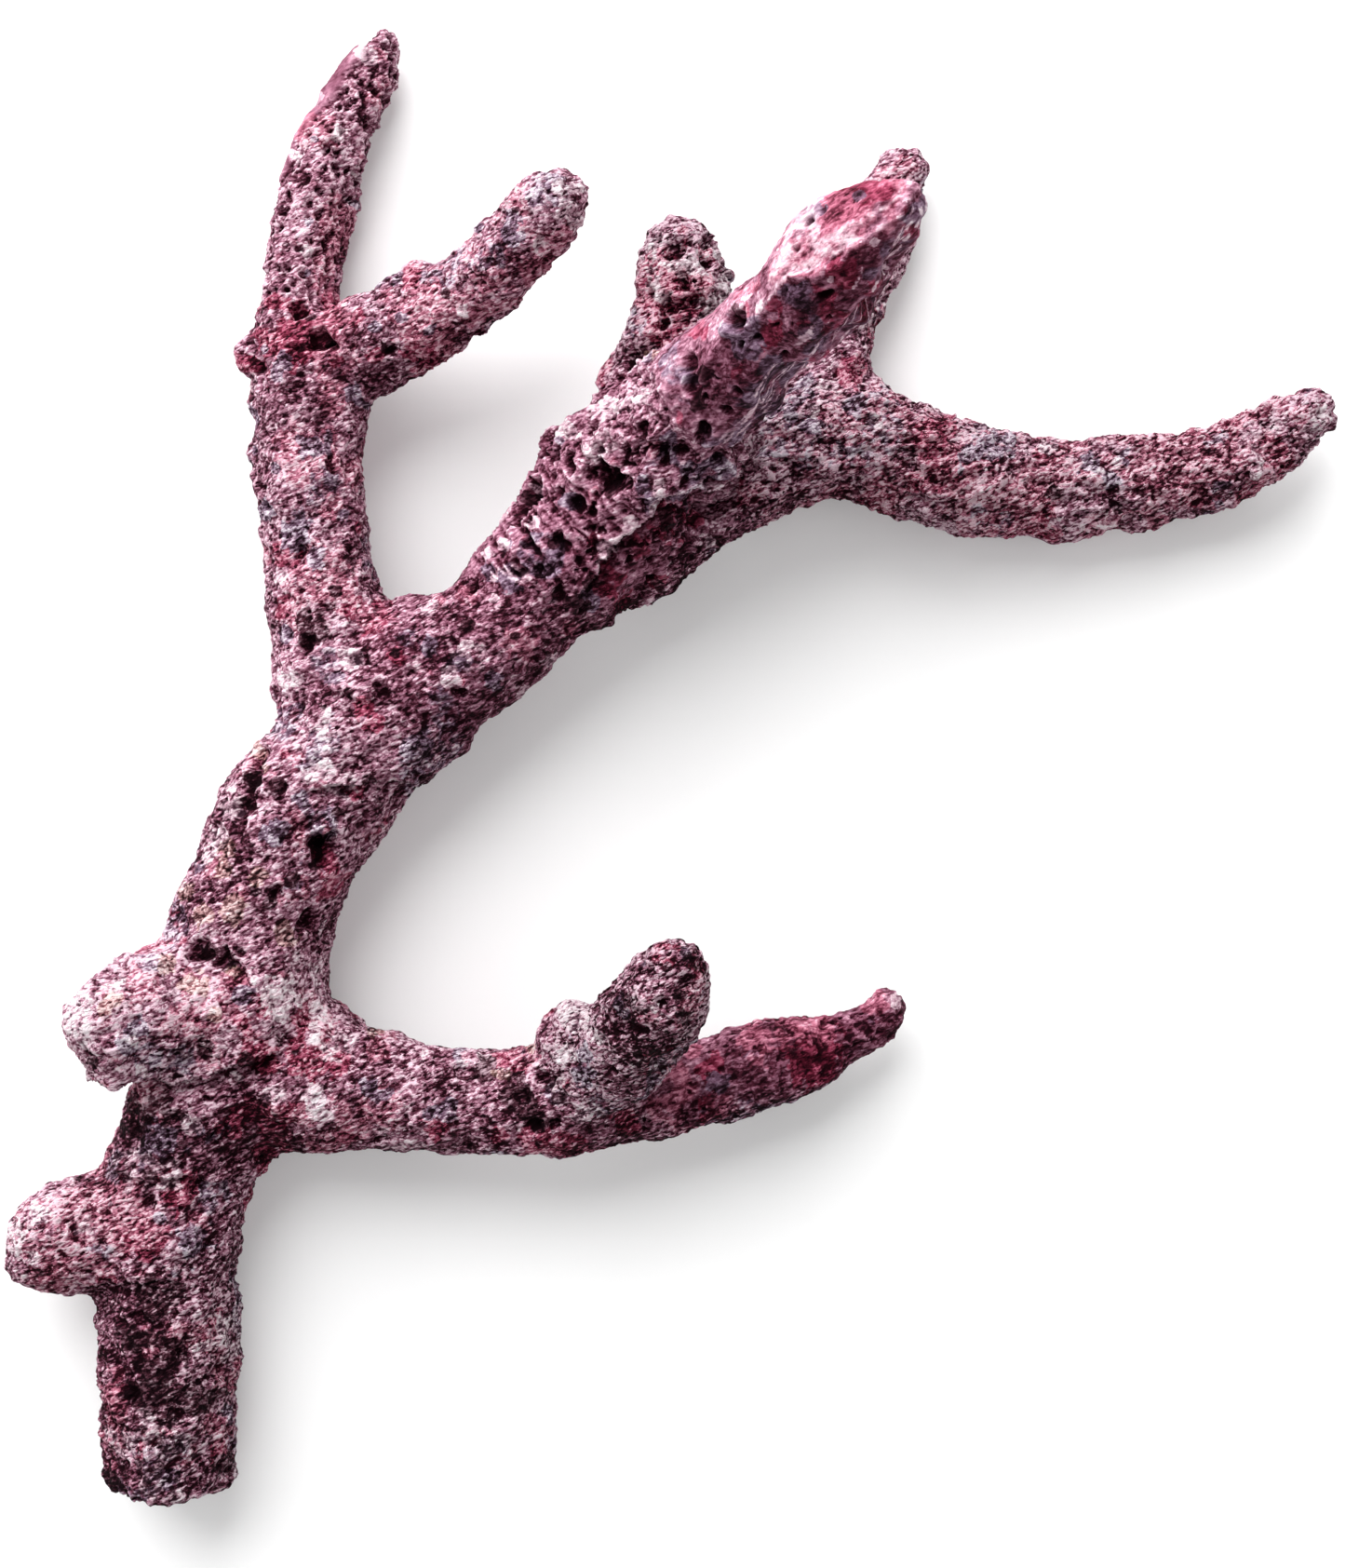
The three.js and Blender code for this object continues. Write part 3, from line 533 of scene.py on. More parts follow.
def grid_of(points, triangles, voxel, reach):
    """Distance to this closed surface on a grid."""
    return vdb.FloatGrid.createLevelSetFromPolygons(
        points.astype(np.float32),
        triangles=triangles.astype(np.uint32),
        transform=vdb.createLinearTransform(voxelSize=voxel),
        halfWidth=reach,
    )


def corners_of_triangles(quads):
    return np.concatenate([quads[:, [0, 1, 2]], quads[:, [0, 2, 3]]])


def outward(points, quads):
    """The quads, turned so that they face out of the body."""
    a, b, c = (points[corner] for corner in corners_of_triangles(quads).T)
    volume = np.einsum("ij,ij->i", a, np.cross(b, c)).sum()
    return quads[:, ::-1] if volume < 0 else quads


def solid_of_nodes():
    """All limbs in one closed mesh, with the slits at the forks filled."""
    points, triangles, count = [], [], 0
    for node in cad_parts.values():
        mesh = node.data
        co = np.zeros(len(mesh.vertices) * 3, np.float32)
        mesh.vertices.foreach_get("co", co)
        mesh.calc_loop_triangles()
        tri = np.zeros(len(mesh.loop_triangles) * 3, np.int32)
        mesh.loop_triangles.foreach_get("vertices", tri)
        points.append(co.reshape(-1, 3) / MM)
        triangles.append(tri.reshape(-1, 3) + count)
        count += len(mesh.vertices)
    grid = grid_of(np.concatenate(points), np.concatenate(triangles), GAP_VOXEL, GAP_REACH)
    points, quads = grid.convertToQuads(isovalue=CLOSE_GAPS)
    return points, outward(points, quads)


def blurred(field, sigma):
    """Gaussian blur of a dense field, one axis after the other."""
    reach = int(math.ceil(3 * sigma))
    weights = np.exp(-0.5 * (np.arange(-reach, reach + 1) / sigma) ** 2)
    weights = (weights / weights.sum()).astype(np.float32)
    for axis in range(3):
        padding = [(reach, reach) if n == axis else (0, 0) for n in range(3)]
        wide = np.pad(field, padding, mode="edge")
        total = np.zeros_like(field)
        for n, w in enumerate(weights):
            part = [slice(None)] * 3
            part[axis] = slice(n, n + field.shape[axis])
            total += w * wide[tuple(part)]
        field = total
    return field


def smooth_body():
    """The joined limbs without their facets and with soft crotches, as points and quads in mm."""
    points, quads = solid_of_nodes()
    grid = grid_of(points, corners_of_triangles(quads), BASE_VOXEL, BASE_REACH)
    low = np.floor(points.min(0) / BASE_VOXEL).astype(int) - BASE_ROOM
    high = np.ceil(points.max(0) / BASE_VOXEL).astype(int) + BASE_ROOM
    field = np.zeros(tuple(high - low), np.float32)
    grid.copyToArray(field, ijk=tuple(int(v) for v in low))
    field = blurred(field, SMOOTHING / BASE_VOXEL) + (CLOSE_GAPS - SWELL)
    soft = vdb.FloatGrid(float(field.max()))
    soft.copyFromArray(field, ijk=tuple(int(v) for v in low))
    soft.transform = vdb.createLinearTransform(voxelSize=BASE_VOXEL)
    points, quads = soft.convertToQuads(isovalue=0.0)
    return points, outward(points, quads)


def refined(points, quads):
    """The same body with each quad in four, rounded as a subdivision surface is."""
    count, corners = len(points), quads.ravel()
    following = np.roll(quads, -1, 1).ravel()
    key = np.minimum(corners, following).astype(np.int64) * count + np.maximum(corners, following)
    key, edge_of = np.unique(key, return_inverse=True)
    edge_of = edge_of.reshape(-1, 4)
    start, end = key // count, key % count
    faces = points[quads].mean(1)

    def summed(index, values, size):
        return np.stack([np.bincount(index, values[:, n], size) for n in range(3)], 1)

    edges = (points[start] + points[end]) / 4
    edges += summed(edge_of.ravel(), np.repeat(faces, 4, 0), len(key)) / 4
    valence = np.bincount(corners, minlength=count)[:, None]
    around = summed(corners, np.repeat(faces, 4, 0), count) / valence
    middles = (points[start] + points[end]) / 2
    along = summed(start, middles, count) + summed(end, middles, count)
    moved = (around + 2 * along / valence + (valence - 3) * points) / valence

    edge_of = edge_of + count
    middle = np.arange(len(quads)) + count + len(key)
    parts = [
        np.stack([quads[:, n], edge_of[:, n], middle, edge_of[:, n - 1]], 1) for n in range(4)
    ]
    return np.concatenate([moved, edges, faces]).astype(np.float32), np.concatenate(parts)


def normals_of(points, quads):
    """Smooth normals of the points."""
    a, b, c, d = (points[quads[:, n]] for n in range(4))
    face = np.cross(c - a, d - b)
    total = np.empty_like(points)
    for axis in range(3):
        weights = np.repeat(face[:, axis], 4)
        total[:, axis] = np.bincount(quads.ravel(), weights, len(points))
    return total / np.maximum(np.linalg.norm(total, axis=1, keepdims=True), 1e-12)


def relaxed(values, quads, rounds):
    """Each value drawn to the mean of its neighbours' this many times."""
    around = np.bincount(quads.ravel(), minlength=len(values))[:, None] * 2
    for _ in range(rounds):
        total = np.zeros_like(values)
        for step in (1, 3):
            other = np.roll(quads, step, 1).ravel()
            for axis in range(values.shape[1]):
                total[:, axis] += np.bincount(quads.ravel(), values[other, axis], len(values))
        values = 0.5 * values + 0.5 * total / around
    return values


def relief(points, normal, quads, rounds, unit):
    """How far the points stand out of the same surface smoothed, or lie under it."""
    out = ((points - relaxed(points, quads, rounds)) * normal).sum(1)
    return np.clip(out / unit, -2, 2)


# The crust


def to_line(p, start, end):
    """Distance of each point to a straight stretch."""
    start, end = np.array(start, np.float32), np.array(end, np.float32)
    t = np.clip((p - start) @ (end - start) / ((end - start) @ (end - start)), 0, 1)
    return np.linalg.norm(p - start - t[:, None] * (end - start), axis=1)


def zone(p, stretch):
    """1 in this stretch of limb, fading to 0 over its soft edge."""
    start, end, radius, soft = stretch
    return 1 - smooth(radius, radius + soft, to_line(p, start, end))


def stepped(x):
    """Plateaus with steep edges between them."""
    step = np.floor(x)
    return step + smooth(0.72, 1.0, x - step)


def crust(p, normal):
    """Height of the crust in mm, depth of the holes, torn places, nodules, grain and strands."""
    spire, prong, knot, fibres = zone(p, SPIRE), zone(p, PRONG), zone(p, KNOT), zone(p, FIBRES)
    ragged, sheaves, popcorn = zone(p, RAGGED), zone(p, SHEAVES), zone(p, POPCORN)
    arm, low_limb, flap = zone(p, ARM), zone(p, LOW_LIMB), flaps(p)
    calm = (1 - 0.75 * prong - 0.25 * low_limb - 0.6 * fibres) * (1 - 0.7 * facet_of(p, normal))
    calm = calm * (1 - 0.85 * flap) * (1 - summed_zones(p, LOWER))

    warp = shifts(p, *WARP)
    bent = p + 1.1 * warp
    flat = bent * CRUMB_SHAPE

    # swells, lumps and terraces
    height = 1.3 * layered(p, *SWELLS)
    height += (0.42 + 0.5 * knot + 0.7 * ragged) * calm * layered(bent, *LUMPS)
    height += (0.5 + 0.6 * knot) * calm * stepped(2.2 * layered(bent, *TERRACES))

    # domed nodules and grains, with creases between them
    near, nodule = cells(flat, *NODULES)
    raised = np.maximum(nodule - 0.45 + 0.2 * popcorn, 0)
    height += calm * (0.1 + 0.8 * raised + 0.3 * popcorn) * (1 - near * near)
    near, grain = cells(flat + 0.5 * warp, *GRAINS)
    height += (0.35 + 0.65 * calm) * 0.3 * (0.3 + grain) * (1 - near * near)
    height -= calm * (0.55 + 0.5 * knot) * lumpy(flat, *CREASES)
    height -= (0.3 + 0.7 * calm) * 0.75 * lumpy(flat, *FINE_CREASES)

    # thin leaves, lying across the trunk and along the arm and the lower limb
    leaves = value_noise(bent * LEAF_SHAPE, *LEAVES)
    height += (0.3 + 0.15 * sheaves + 0.75 * arm) * leaves * calm + 0.8 * flap

    # strands across the right limb, with slits between them
    across = (bent @ ACROSS)[:, None] * ACROSS
    strands = fibres * (0.3 - np.abs(value_noise(0.16 * p + across, *STRANDS)))
    height += 1.1 * strands
    holes = 0.5 * fibres * smooth(0.42, 0.6, value_noise(0.25 * p + across, *SLITS))

    # pits and pores
    jagged = shifts(p, *JAGGED)
    near, picked = cells(p + 0.8 * warp + 0.7 * jagged, *PITS)
    share = 0.09 + 0.3 * knot - 0.04 * prong + 0.3 * ragged + 0.25 * spire
    radius = (0.65 + 0.95 * (picked * 7.31 % 1)) * (1 + 0.35 * knot) / PITS[0]
    hole = (picked < share) * (1 - smooth(0.6 * radius, 1.1 * radius, near))
    holes += (1.2 + 1.3 * (picked * 3.7 % 1)) * hole
    near, picked = cells((p + 0.5 * warp) @ PORE_TURN, *PORES)
    share = 0.08 + 0.6 * spire + 0.25 * ragged + 0.12 * knot + 0.25 * popcorn
    hole = (picked < share) * (1 - smooth(0.17 + 0.12 * spire, 0.4 + 0.14 * spire, near))
    holes += (0.7 + 0.7 * spire) * hole * (1 - 0.5 * prong)

    # patches where the crust has come off, with ragged edges
    torn = smooth(0.2, 0.32, layered(bent + 40, *TORN)) * (1 - prong)
    holes += (0.5 + 2.0 * ragged + 0.7 * knot) * torn

    # what the tables place
    around = bent + 0.35 * warp + 0.6 * jagged
    for *centre, radius, depth in HOLLOWS:
        holes += 1.15 * depth * (1 - smooth(0.55 * radius, 1.1 * radius, away(around, centre)))
    for *centre, radius, rise in BLOBS:
        d = away(p, centre) / radius
        height += rise * np.sqrt(np.clip(1 - d * d, 0, 1))
    for *centre, radius, out in SHAPING:
        height += out * (1 - smooth(0.2 * radius, 1.4 * radius, away(p, centre)))
    ridge = 1 - smooth(0.2, 1.8, np.abs(over_crest(bent)))
    height += (1 + 1.2 * layered(p, *CREST_NOTCHES)) * ridge
    front = smooth(-0.3, 0.1, normal[:, 2])
    for line, out, sunk in LEDGES:
        near, left = beside(bent[:, :2], line)
        height += front * (1 - smooth(0.5, 4.5, near)) * np.where(left, out, -sunk)

    height += 0.16 * value_noise(p, *SAND)
    holes = holes * (1 - flap)
    return height - holes, holes, torn, nodule, grain, strands


def away(p, centre):
    return np.linalg.norm(p - np.array(centre), axis=1)


def summed_zones(p, table):
    """The amounts of this table's stretches at each point."""
    return sum(amount * zone(p, stretch) for stretch, amount in table)


def beside(p, line):
    """Distance to a line of places, and whether a point is on its upper left."""
    near = np.full(len(p), 99, np.float32)
    left = np.zeros(len(p), bool)
    for start, end in zip(line, line[1:]):
        d = to_line(p, start, end)
        x, y = p[:, 0] - start[0], p[:, 1] - start[1]
        left = np.where(d < near, (end[0] - start[0]) * y > (end[1] - start[1]) * x, left)
        near = np.minimum(near, d)
    return near, left


def over_crest(p):
    """Distance to the crest, above 0 on the side of the facet and below 0 on the other."""
    near, left = beside(p, CREST)
    return np.where(left, near, -near)


def facet_of(p, normal):
    """1 on the broken facet of the prong."""
    facing = smooth(0.45, 0.7, normal @ FACING_OUT)
    high = smooth(*FACET_BEGINS, p[:, 2])
    return zone(p, PRONG) * smooth(-0.6, 0.9, over_crest(p)) * facing * high


def shaded_side(p):
    """1 on the lower side of the prong, under its crest."""
    return zone(p, PRONG) * (1 - smooth(-1.2, 0.4, over_crest(p)))


def flaps(p):
    """1 on the smooth flaps of the spire."""
    return np.max([zone(p, stretch) for stretch in FLAPS], 0)


def smooth_crust(p):
    """How smooth the crust is, from 1 down to below 0 where it is crisp."""
    half = 0.45 * np.maximum(zone(p, KNOT), zone(p, FIBRES))
    smoothest = np.maximum(0.9 * zone(p, PRONG), flaps(p))
    calm = np.maximum(np.maximum(half, smoothest), 0.5 * zone(p, LOW_PRONG))
    return calm - summed_zones(p, CRISP)


def patch(p, normal, places, jitter):
    """1 inside these patches, with frayed edges."""
    inside = np.zeros(len(p), np.float32)
    for x, y, radius in places:
        d = np.hypot(p[:, 0] - x, p[:, 1] - y) / radius + jitter
        inside = np.maximum(inside, 1 - smooth(0.7, 1.15, d))
    return inside * smooth(-0.35, 0.1, normal[:, 2])


def tints(p, normal, nodule, grain, strands):
    """How much each tint shows at each point."""
    rough, spire = 1 - 0.45 * np.maximum(smooth_crust(p), 0), zone(p, SPIRE)
    frayed, ragged = layered(p, *FRAYING), layered(p, *FINE_FRAYING)
    rim, inner = beside(p[:, :2], LEDGES[0][0])
    rim = (1 - smooth(0.8, 2.6, rim + frayed)) * inner
    shown = {}
    size, seed, step = WIDE_PATCHES
    for n, (name, places) in enumerate(PATCHES.items()):
        wide = smooth(0.18, 0.4, layered(p, size, seed + step * n, 2))
        wide = wide * WIDE[name] * (1 - 0.7 * spire)
        lone = (nodule * (3.1 + 1.7 * n) + grain * 0.6) % 1
        jitter = 0.9 * rough * frayed + 0.45 * ragged
        share = np.maximum(patch(p, normal, places, jitter), 0.75 * wide * rough)
        shown[name] = 0.8 * share + rough * (0.22 * lone + 0.3 * frayed) + 0.1 * (1 - rough)
    facet, prong = facet_of(p, normal), zone(p, PRONG)
    crest = np.abs(over_crest(p))
    broken = far_facet(p, frayed)
    side = prong * (1 - facet)
    under = smooth(0.35, 0.85, normal @ UNDER_PRONG)
    shown["pale"] += 0.35 * rim + 0.5 * facet * (1 - broken) + 0.35 * flaps(p) + 0.5 * strands
    shown["pale"] += 0.25 * prong * (1 - smooth(0.2, 1.2, crest + 2 * frayed))
    shown["pale"] += 0.6 * side * under * smooth(0.08, 0.3, streaks(p))
    shown["rose"] += 0.3 * facet + 0.06 * side
    red, grey = layered(p, *RED_CLOUDS), layered(p, *SLATE_CLOUDS)
    shown["crimson"] += 0.75 * facet * broken + 0.55 * side * smooth(0.1, 0.35, red)
    shown["slate"] += side * (0.45 * under + 0.35 * smooth(0.05, 0.3, grey))
    for name, stretch, amount in BLUSHES:
        shown[name] += amount * zone(p, stretch)
    return shown


def far_facet(p, frayed):
    """1 on the crimson end of the facet."""
    reach = np.abs(over_crest(p)) + 1.6 * frayed + 0.2 * (p[:, 0] - 150)
    return smooth(5.2, 6.8, reach) * smooth(*CRIMSON_BEGINS, p[:, 0] + frayed)


def streaks(p):
    """Fibres along the prong, around 0."""
    along = (p @ PRONG_AXIS)[:, None] * PRONG_AXIS
    return layered(p - 0.92 * along, *STREAKS)


def lifts(p, normal, strands):
    """How much lighter or darker the crust is than its grain alone makes it, with painted light and
    shade.
    """
    prong, under = zone(p, PRONG), smooth(0.6, 0.85, normal @ UNDER_PRONG)
    lift = facet_of(p, normal) * (-0.08 - 0.1 * far_facet(p, 0))
    # painted shade on the prong's lower side under its crest; painted light on faces toward the light,
    # painted shade away
    lift = lift - 0.16 * shaded_side(p) - 0.1 * flaps(p) + 0.09 * (normal @ TOWARD_PAINTED_LIGHT - 0.3)
    lift = lift + 0.3 * prong * streaks(p) + 0.35 * strands + 0.12 * prong * under
    return lift + summed_zones(p, LIFTS)


# Parting at the forks


def nearest_nodes(points):
    """The number of the node whose surface is nearest to each point."""
    vertices, faces, owner = [], [], []
    for n, node in enumerate(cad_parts.values()):
        first = len(vertices)
        vertices += [v.co / MM for v in node.data.vertices]
        for face in node.data.polygons:
            faces.append([first + v for v in face.vertices])
            owner.append(n)
    tree = BVHTree.FromPolygons(vertices, faces)
    return np.array([owner[tree.find_nearest(p)[2]] for p in points.tolist()])


def neighbours_of(quads):
    """The four faces that share an edge with each face."""
    start = quads.ravel().astype(np.int64)
    end = np.roll(quads, -1, 1).ravel().astype(np.int64)
    key = np.minimum(start, end) * (quads.max() + 1) + np.maximum(start, end)
    order = np.argsort(key, kind="stable").reshape(-1, 2)
    adjoining = np.empty(len(key), np.int64)
    adjoining[order[:, 0]] = order[:, 1] // 4
    adjoining[order[:, 1]] = order[:, 0] // 4
    return adjoining.reshape(-1, 4)


def voted(labels, quads, count, points):
    """Each face takes the label that is most common around it."""
    score = np.zeros((count, len(quads)), np.float32)
    for n in range(count):
        votes = np.bincount(quads.ravel(), np.repeat(labels == n, 4).astype(np.float32), points)
        score[n] = votes[quads].sum(1)
    return score.argmax(0)


def islands_joined(labels, adjoining):
    """Leaves each label its largest patch of faces, and gives the rest to their neighbours."""
    labels, patch_of = labels.copy(), np.arange(len(labels))
    joined = np.where(labels[adjoining] == labels[:, None], adjoining, patch_of[:, None])
    while True:
        lowest = np.minimum(patch_of, patch_of[joined].min(1))
        if (lowest == patch_of).all():
            break
        patch_of = lowest[lowest]
    size = np.bincount(patch_of)[patch_of]
    largest = np.array([size[labels == n].max() for n in range(labels.max() + 1)])
    kept = size == largest[labels]
    while not kept.all():
        for side in range(4):
            take = ~kept & kept[adjoining[:, side]]
            labels[take] = labels[adjoining[take, side]]
            kept |= take
    return labels


def pinches_opened(labels, quads, adjoining, points, rounds=20):
    """Relabels faces until no piece touches itself at a single point."""
    for _ in range(rounds):
        pinched = np.zeros(points, bool)
        for n in np.unique(labels):
            mine = labels == n
            edge = mine[:, None] & (labels[adjoining] != n)
            ends = np.concatenate([quads[edge], np.roll(quads, -1, 1)[edge]])
            pinched |= np.bincount(ends, minlength=points) > 2
        faces = np.nonzero(pinched[quads].any(1))[0]
        if not len(faces):
            break
        for point in np.nonzero(pinched)[0]:
            around = faces[(quads[faces] == point).any(1)]
            found, times = np.unique(labels[around], return_counts=True)
            labels[around] = found[times.argmax()]
    return labels


def piece_of(name, points, normal, quads, mine, adjoining, channels):
    """One closed piece: its part of the crust and a fan over each opening at a fork."""
    edge = np.nonzero(mine[:, None] & ~mine[adjoining])
    starts = quads[edge]
    ends = np.roll(quads, -1, 1)[edge]
    follows = dict(zip(starts.tolist(), ends.tolist()))
    fans, centres = [], []
    while follows:
        first = next(iter(follows))
        loop, at = [], first
        while at in follows:
            loop.append(at)
            at = follows.pop(at)
        centre = len(points) + len(centres)
        centres.append(points[loop].mean(0))
        fans += [(b, a, centre) for a, b in zip(loop, loop[1:] + loop[:1])]
    used, index = np.unique(quads[mine], return_inverse=True)
    place = {old: new for new, old in enumerate(used.tolist())}
    for n in range(len(centres)):
        place[len(points) + n] = len(used) + n
    corners = np.concatenate([index.ravel(), [place[v] for fan in fans for v in fan]])
    sides = np.concatenate([np.full(mine.sum(), 4), np.full(len(fans), 3)])
    co = np.concatenate([points[used], np.array(centres).reshape(-1, 3)])

    mesh = bpy.data.meshes.new(name)
    mesh.vertices.add(len(co))
    mesh.vertices.foreach_set("co", (co * MM).astype(np.float32).ravel())
    mesh.loops.add(len(corners))
    mesh.loops.foreach_set("vertex_index", corners.astype(np.int32))
    mesh.polygons.add(len(sides))
    mesh.polygons.foreach_set("loop_start", (np.cumsum(sides) - sides).astype(np.int32))
    mesh.update(calc_edges=True)
    mesh.polygons.foreach_set("use_smooth", np.ones(len(sides), bool))
    shading = np.concatenate([normal[used], np.zeros((len(centres), 3))])
    mesh.normals_split_custom_set_from_vertices(shading.astype(np.float32))
    for channel, values in channels.items():
        layer = mesh.attributes.new(channel, "FLOAT", "POINT")
        inner = np.zeros(len(centres), np.float32)
        layer.data.foreach_set("value", np.concatenate([values[used], inner]).astype(np.float32))
    piece = bpy.data.objects.new(name, mesh)
    bpy.context.collection.objects.link(piece)
    return piece


# Material


def srgb(r, g, b):
    """A colour for a socket from its 0 to 255 values."""
    return tuple(
        v / 255 / 12.92 if v / 255 <= 0.04045 else ((v / 255 + 0.055) / 1.055) ** 2.4
        for v in (r, g, b)
    ) + (1.0,)


class Nodes:
    """Short ways to add nodes to a material."""

    def __init__(self, material):
        self.tree = material.node_tree

    def join(self, value, socket):
        if isinstance(value, bpy.types.NodeSocket):
            self.tree.links.new(value, socket)
        else:
            socket.default_value = value

    def add(self, kind, inputs=(), **settings):
        """A node with these settings, and these values or links in its inputs."""
        node = self.tree.nodes.new(kind)
        for name, value in settings.items():
            setattr(node, name, value)
        for name, value in dict(inputs).items():
            self.join(value, node.inputs[name])
        return node

    def math(self, operation, *values):
        inputs = enumerate(values)
        return self.add("ShaderNodeMath", inputs, operation=operation).outputs[0]

    def vector(self, operation, *values):
        inputs = enumerate(values)
        return self.add("ShaderNodeVectorMath", inputs, operation=operation).outputs[0]

    def weighted(self, total, *terms):
        """total + weight * value + weight * value ..."""
        for weight, value in terms:
            total = self.math("MULTIPLY_ADD", value, weight, total)
        return total

    def attribute(self, name):
        return self.add("ShaderNodeAttribute", attribute_name=name).outputs["Fac"]

    def noise(self, place, size, detail, seed):
        """Noise around 0 with lumps of this size in mm."""
        inputs = {
            "Vector": place, "W": seed, "Scale": 1 / size, "Detail": detail, "Roughness": 0.6,
        }
        node = self.add("ShaderNodeTexNoise", inputs, noise_dimensions="4D")
        return self.math("SUBTRACT", node.outputs["Fac"], 0.5)

    def crumbs(self, place, size):
        """Distance from the middle of crumbs of this size in mm, and a number for each, around 0."""
        shift = self.add("ShaderNodeTexNoise", {"Vector": place, "Scale": 1 / size})
        far = (1.2 * size,) * 3
        warped = self.vector("MULTIPLY_ADD", shift.outputs["Color"], far, place)
        node = self.add("ShaderNodeTexVoronoi", {"Vector": warped, "Scale": 1 / size})
        split = self.add("ShaderNodeSeparateColor", {0: node.outputs["Color"]})
        distance = self.math("SUBTRACT", node.outputs["Distance"], 0.45)
        return distance, self.math("SUBTRACT", split.outputs[0], 0.5)

    def steps(self, value, low, high):
        """A soft step from 0 at the low value to 1 at the high one."""
        inputs = {"Value": value, "From Min": low, "From Max": high}
        node = self.add("ShaderNodeMapRange", inputs, interpolation_type="SMOOTHSTEP")
        return node.outputs["Result"]

    def ramp(self, value, colours):
        """These colours, spaced evenly from 0 to 1."""
        node = self.add("ShaderNodeValToRGB", {"Fac": value})
        stops = node.color_ramp.elements
        for n, colour in enumerate(colours):
            at = n / (len(colours) - 1)
            stop = stops[n] if n < 2 else stops.new(at)
            stop.position = at
            stop.color = srgb(*colour)
        return node.outputs["Color"]

    def mix(self, share, a, b):
        inputs = {"Factor": share, "A": a, "B": b}
        return self.add("ShaderNodeMix", inputs, data_type="RGBA").outputs["Result"]


# Dark to light colours of the crust and of each tint
TONES = {
    "mauve": [(26, 2, 9), (80, 32, 48), (136, 85, 105), (186, 134, 154), (234, 202, 215)],
    "crimson": [(28, 0, 7), (84, 15, 34), (138, 46, 72), (184, 92, 118), (228, 170, 186)],
    "rose": [(38, 4, 14), (102, 42, 59), (166, 92, 114), (208, 138, 158), (240, 204, 216)],
    "slate": [(20, 7, 15), (64, 43, 58), (112, 90, 112), (160, 142, 160), (216, 206, 218)],
    "pale": [(70, 44, 56), (148, 108, 124), (200, 164, 178), (228, 204, 212), (246, 236, 240)],
    "dark": [(16, 1, 6), (42, 14, 23), (72, 37, 48), (110, 76, 88), (176, 144, 156)],
    "olive": [(24, 14, 10), (74, 52, 42), (132, 100, 90), (190, 150, 132), (232, 208, 196)],
}

# How much of each tint lies in wide patches all over the rock
WIDE = {"crimson": 1, "rose": 1, "slate": 0.9, "pale": 0.75, "dark": 0.6, "olive": 0}

# How strongly each tint covers the mauve, and how far it shifts the tone
STRENGTHS = {
    "crimson": (0.85, -0.03), "rose": (0.8, 0.04), "slate": (0.8, -0.02), "pale": (0.8, 0.12),
    "dark": (0.9, -0.15), "olive": (0.5, 0.01),
}

# Tone where nothing shifts it
MIDDLE_TONE = 0.545

# How dull the crust is, and how much it shines
ROUGHNESS = 0.84
SHINE = 0.06

# Flakes of the crust: how they are stretched, and how steeply they lie, in radians
FLAKE_SHAPE = (0.45, 1, 0.75)
FLAKE_SLOPE = 0.4


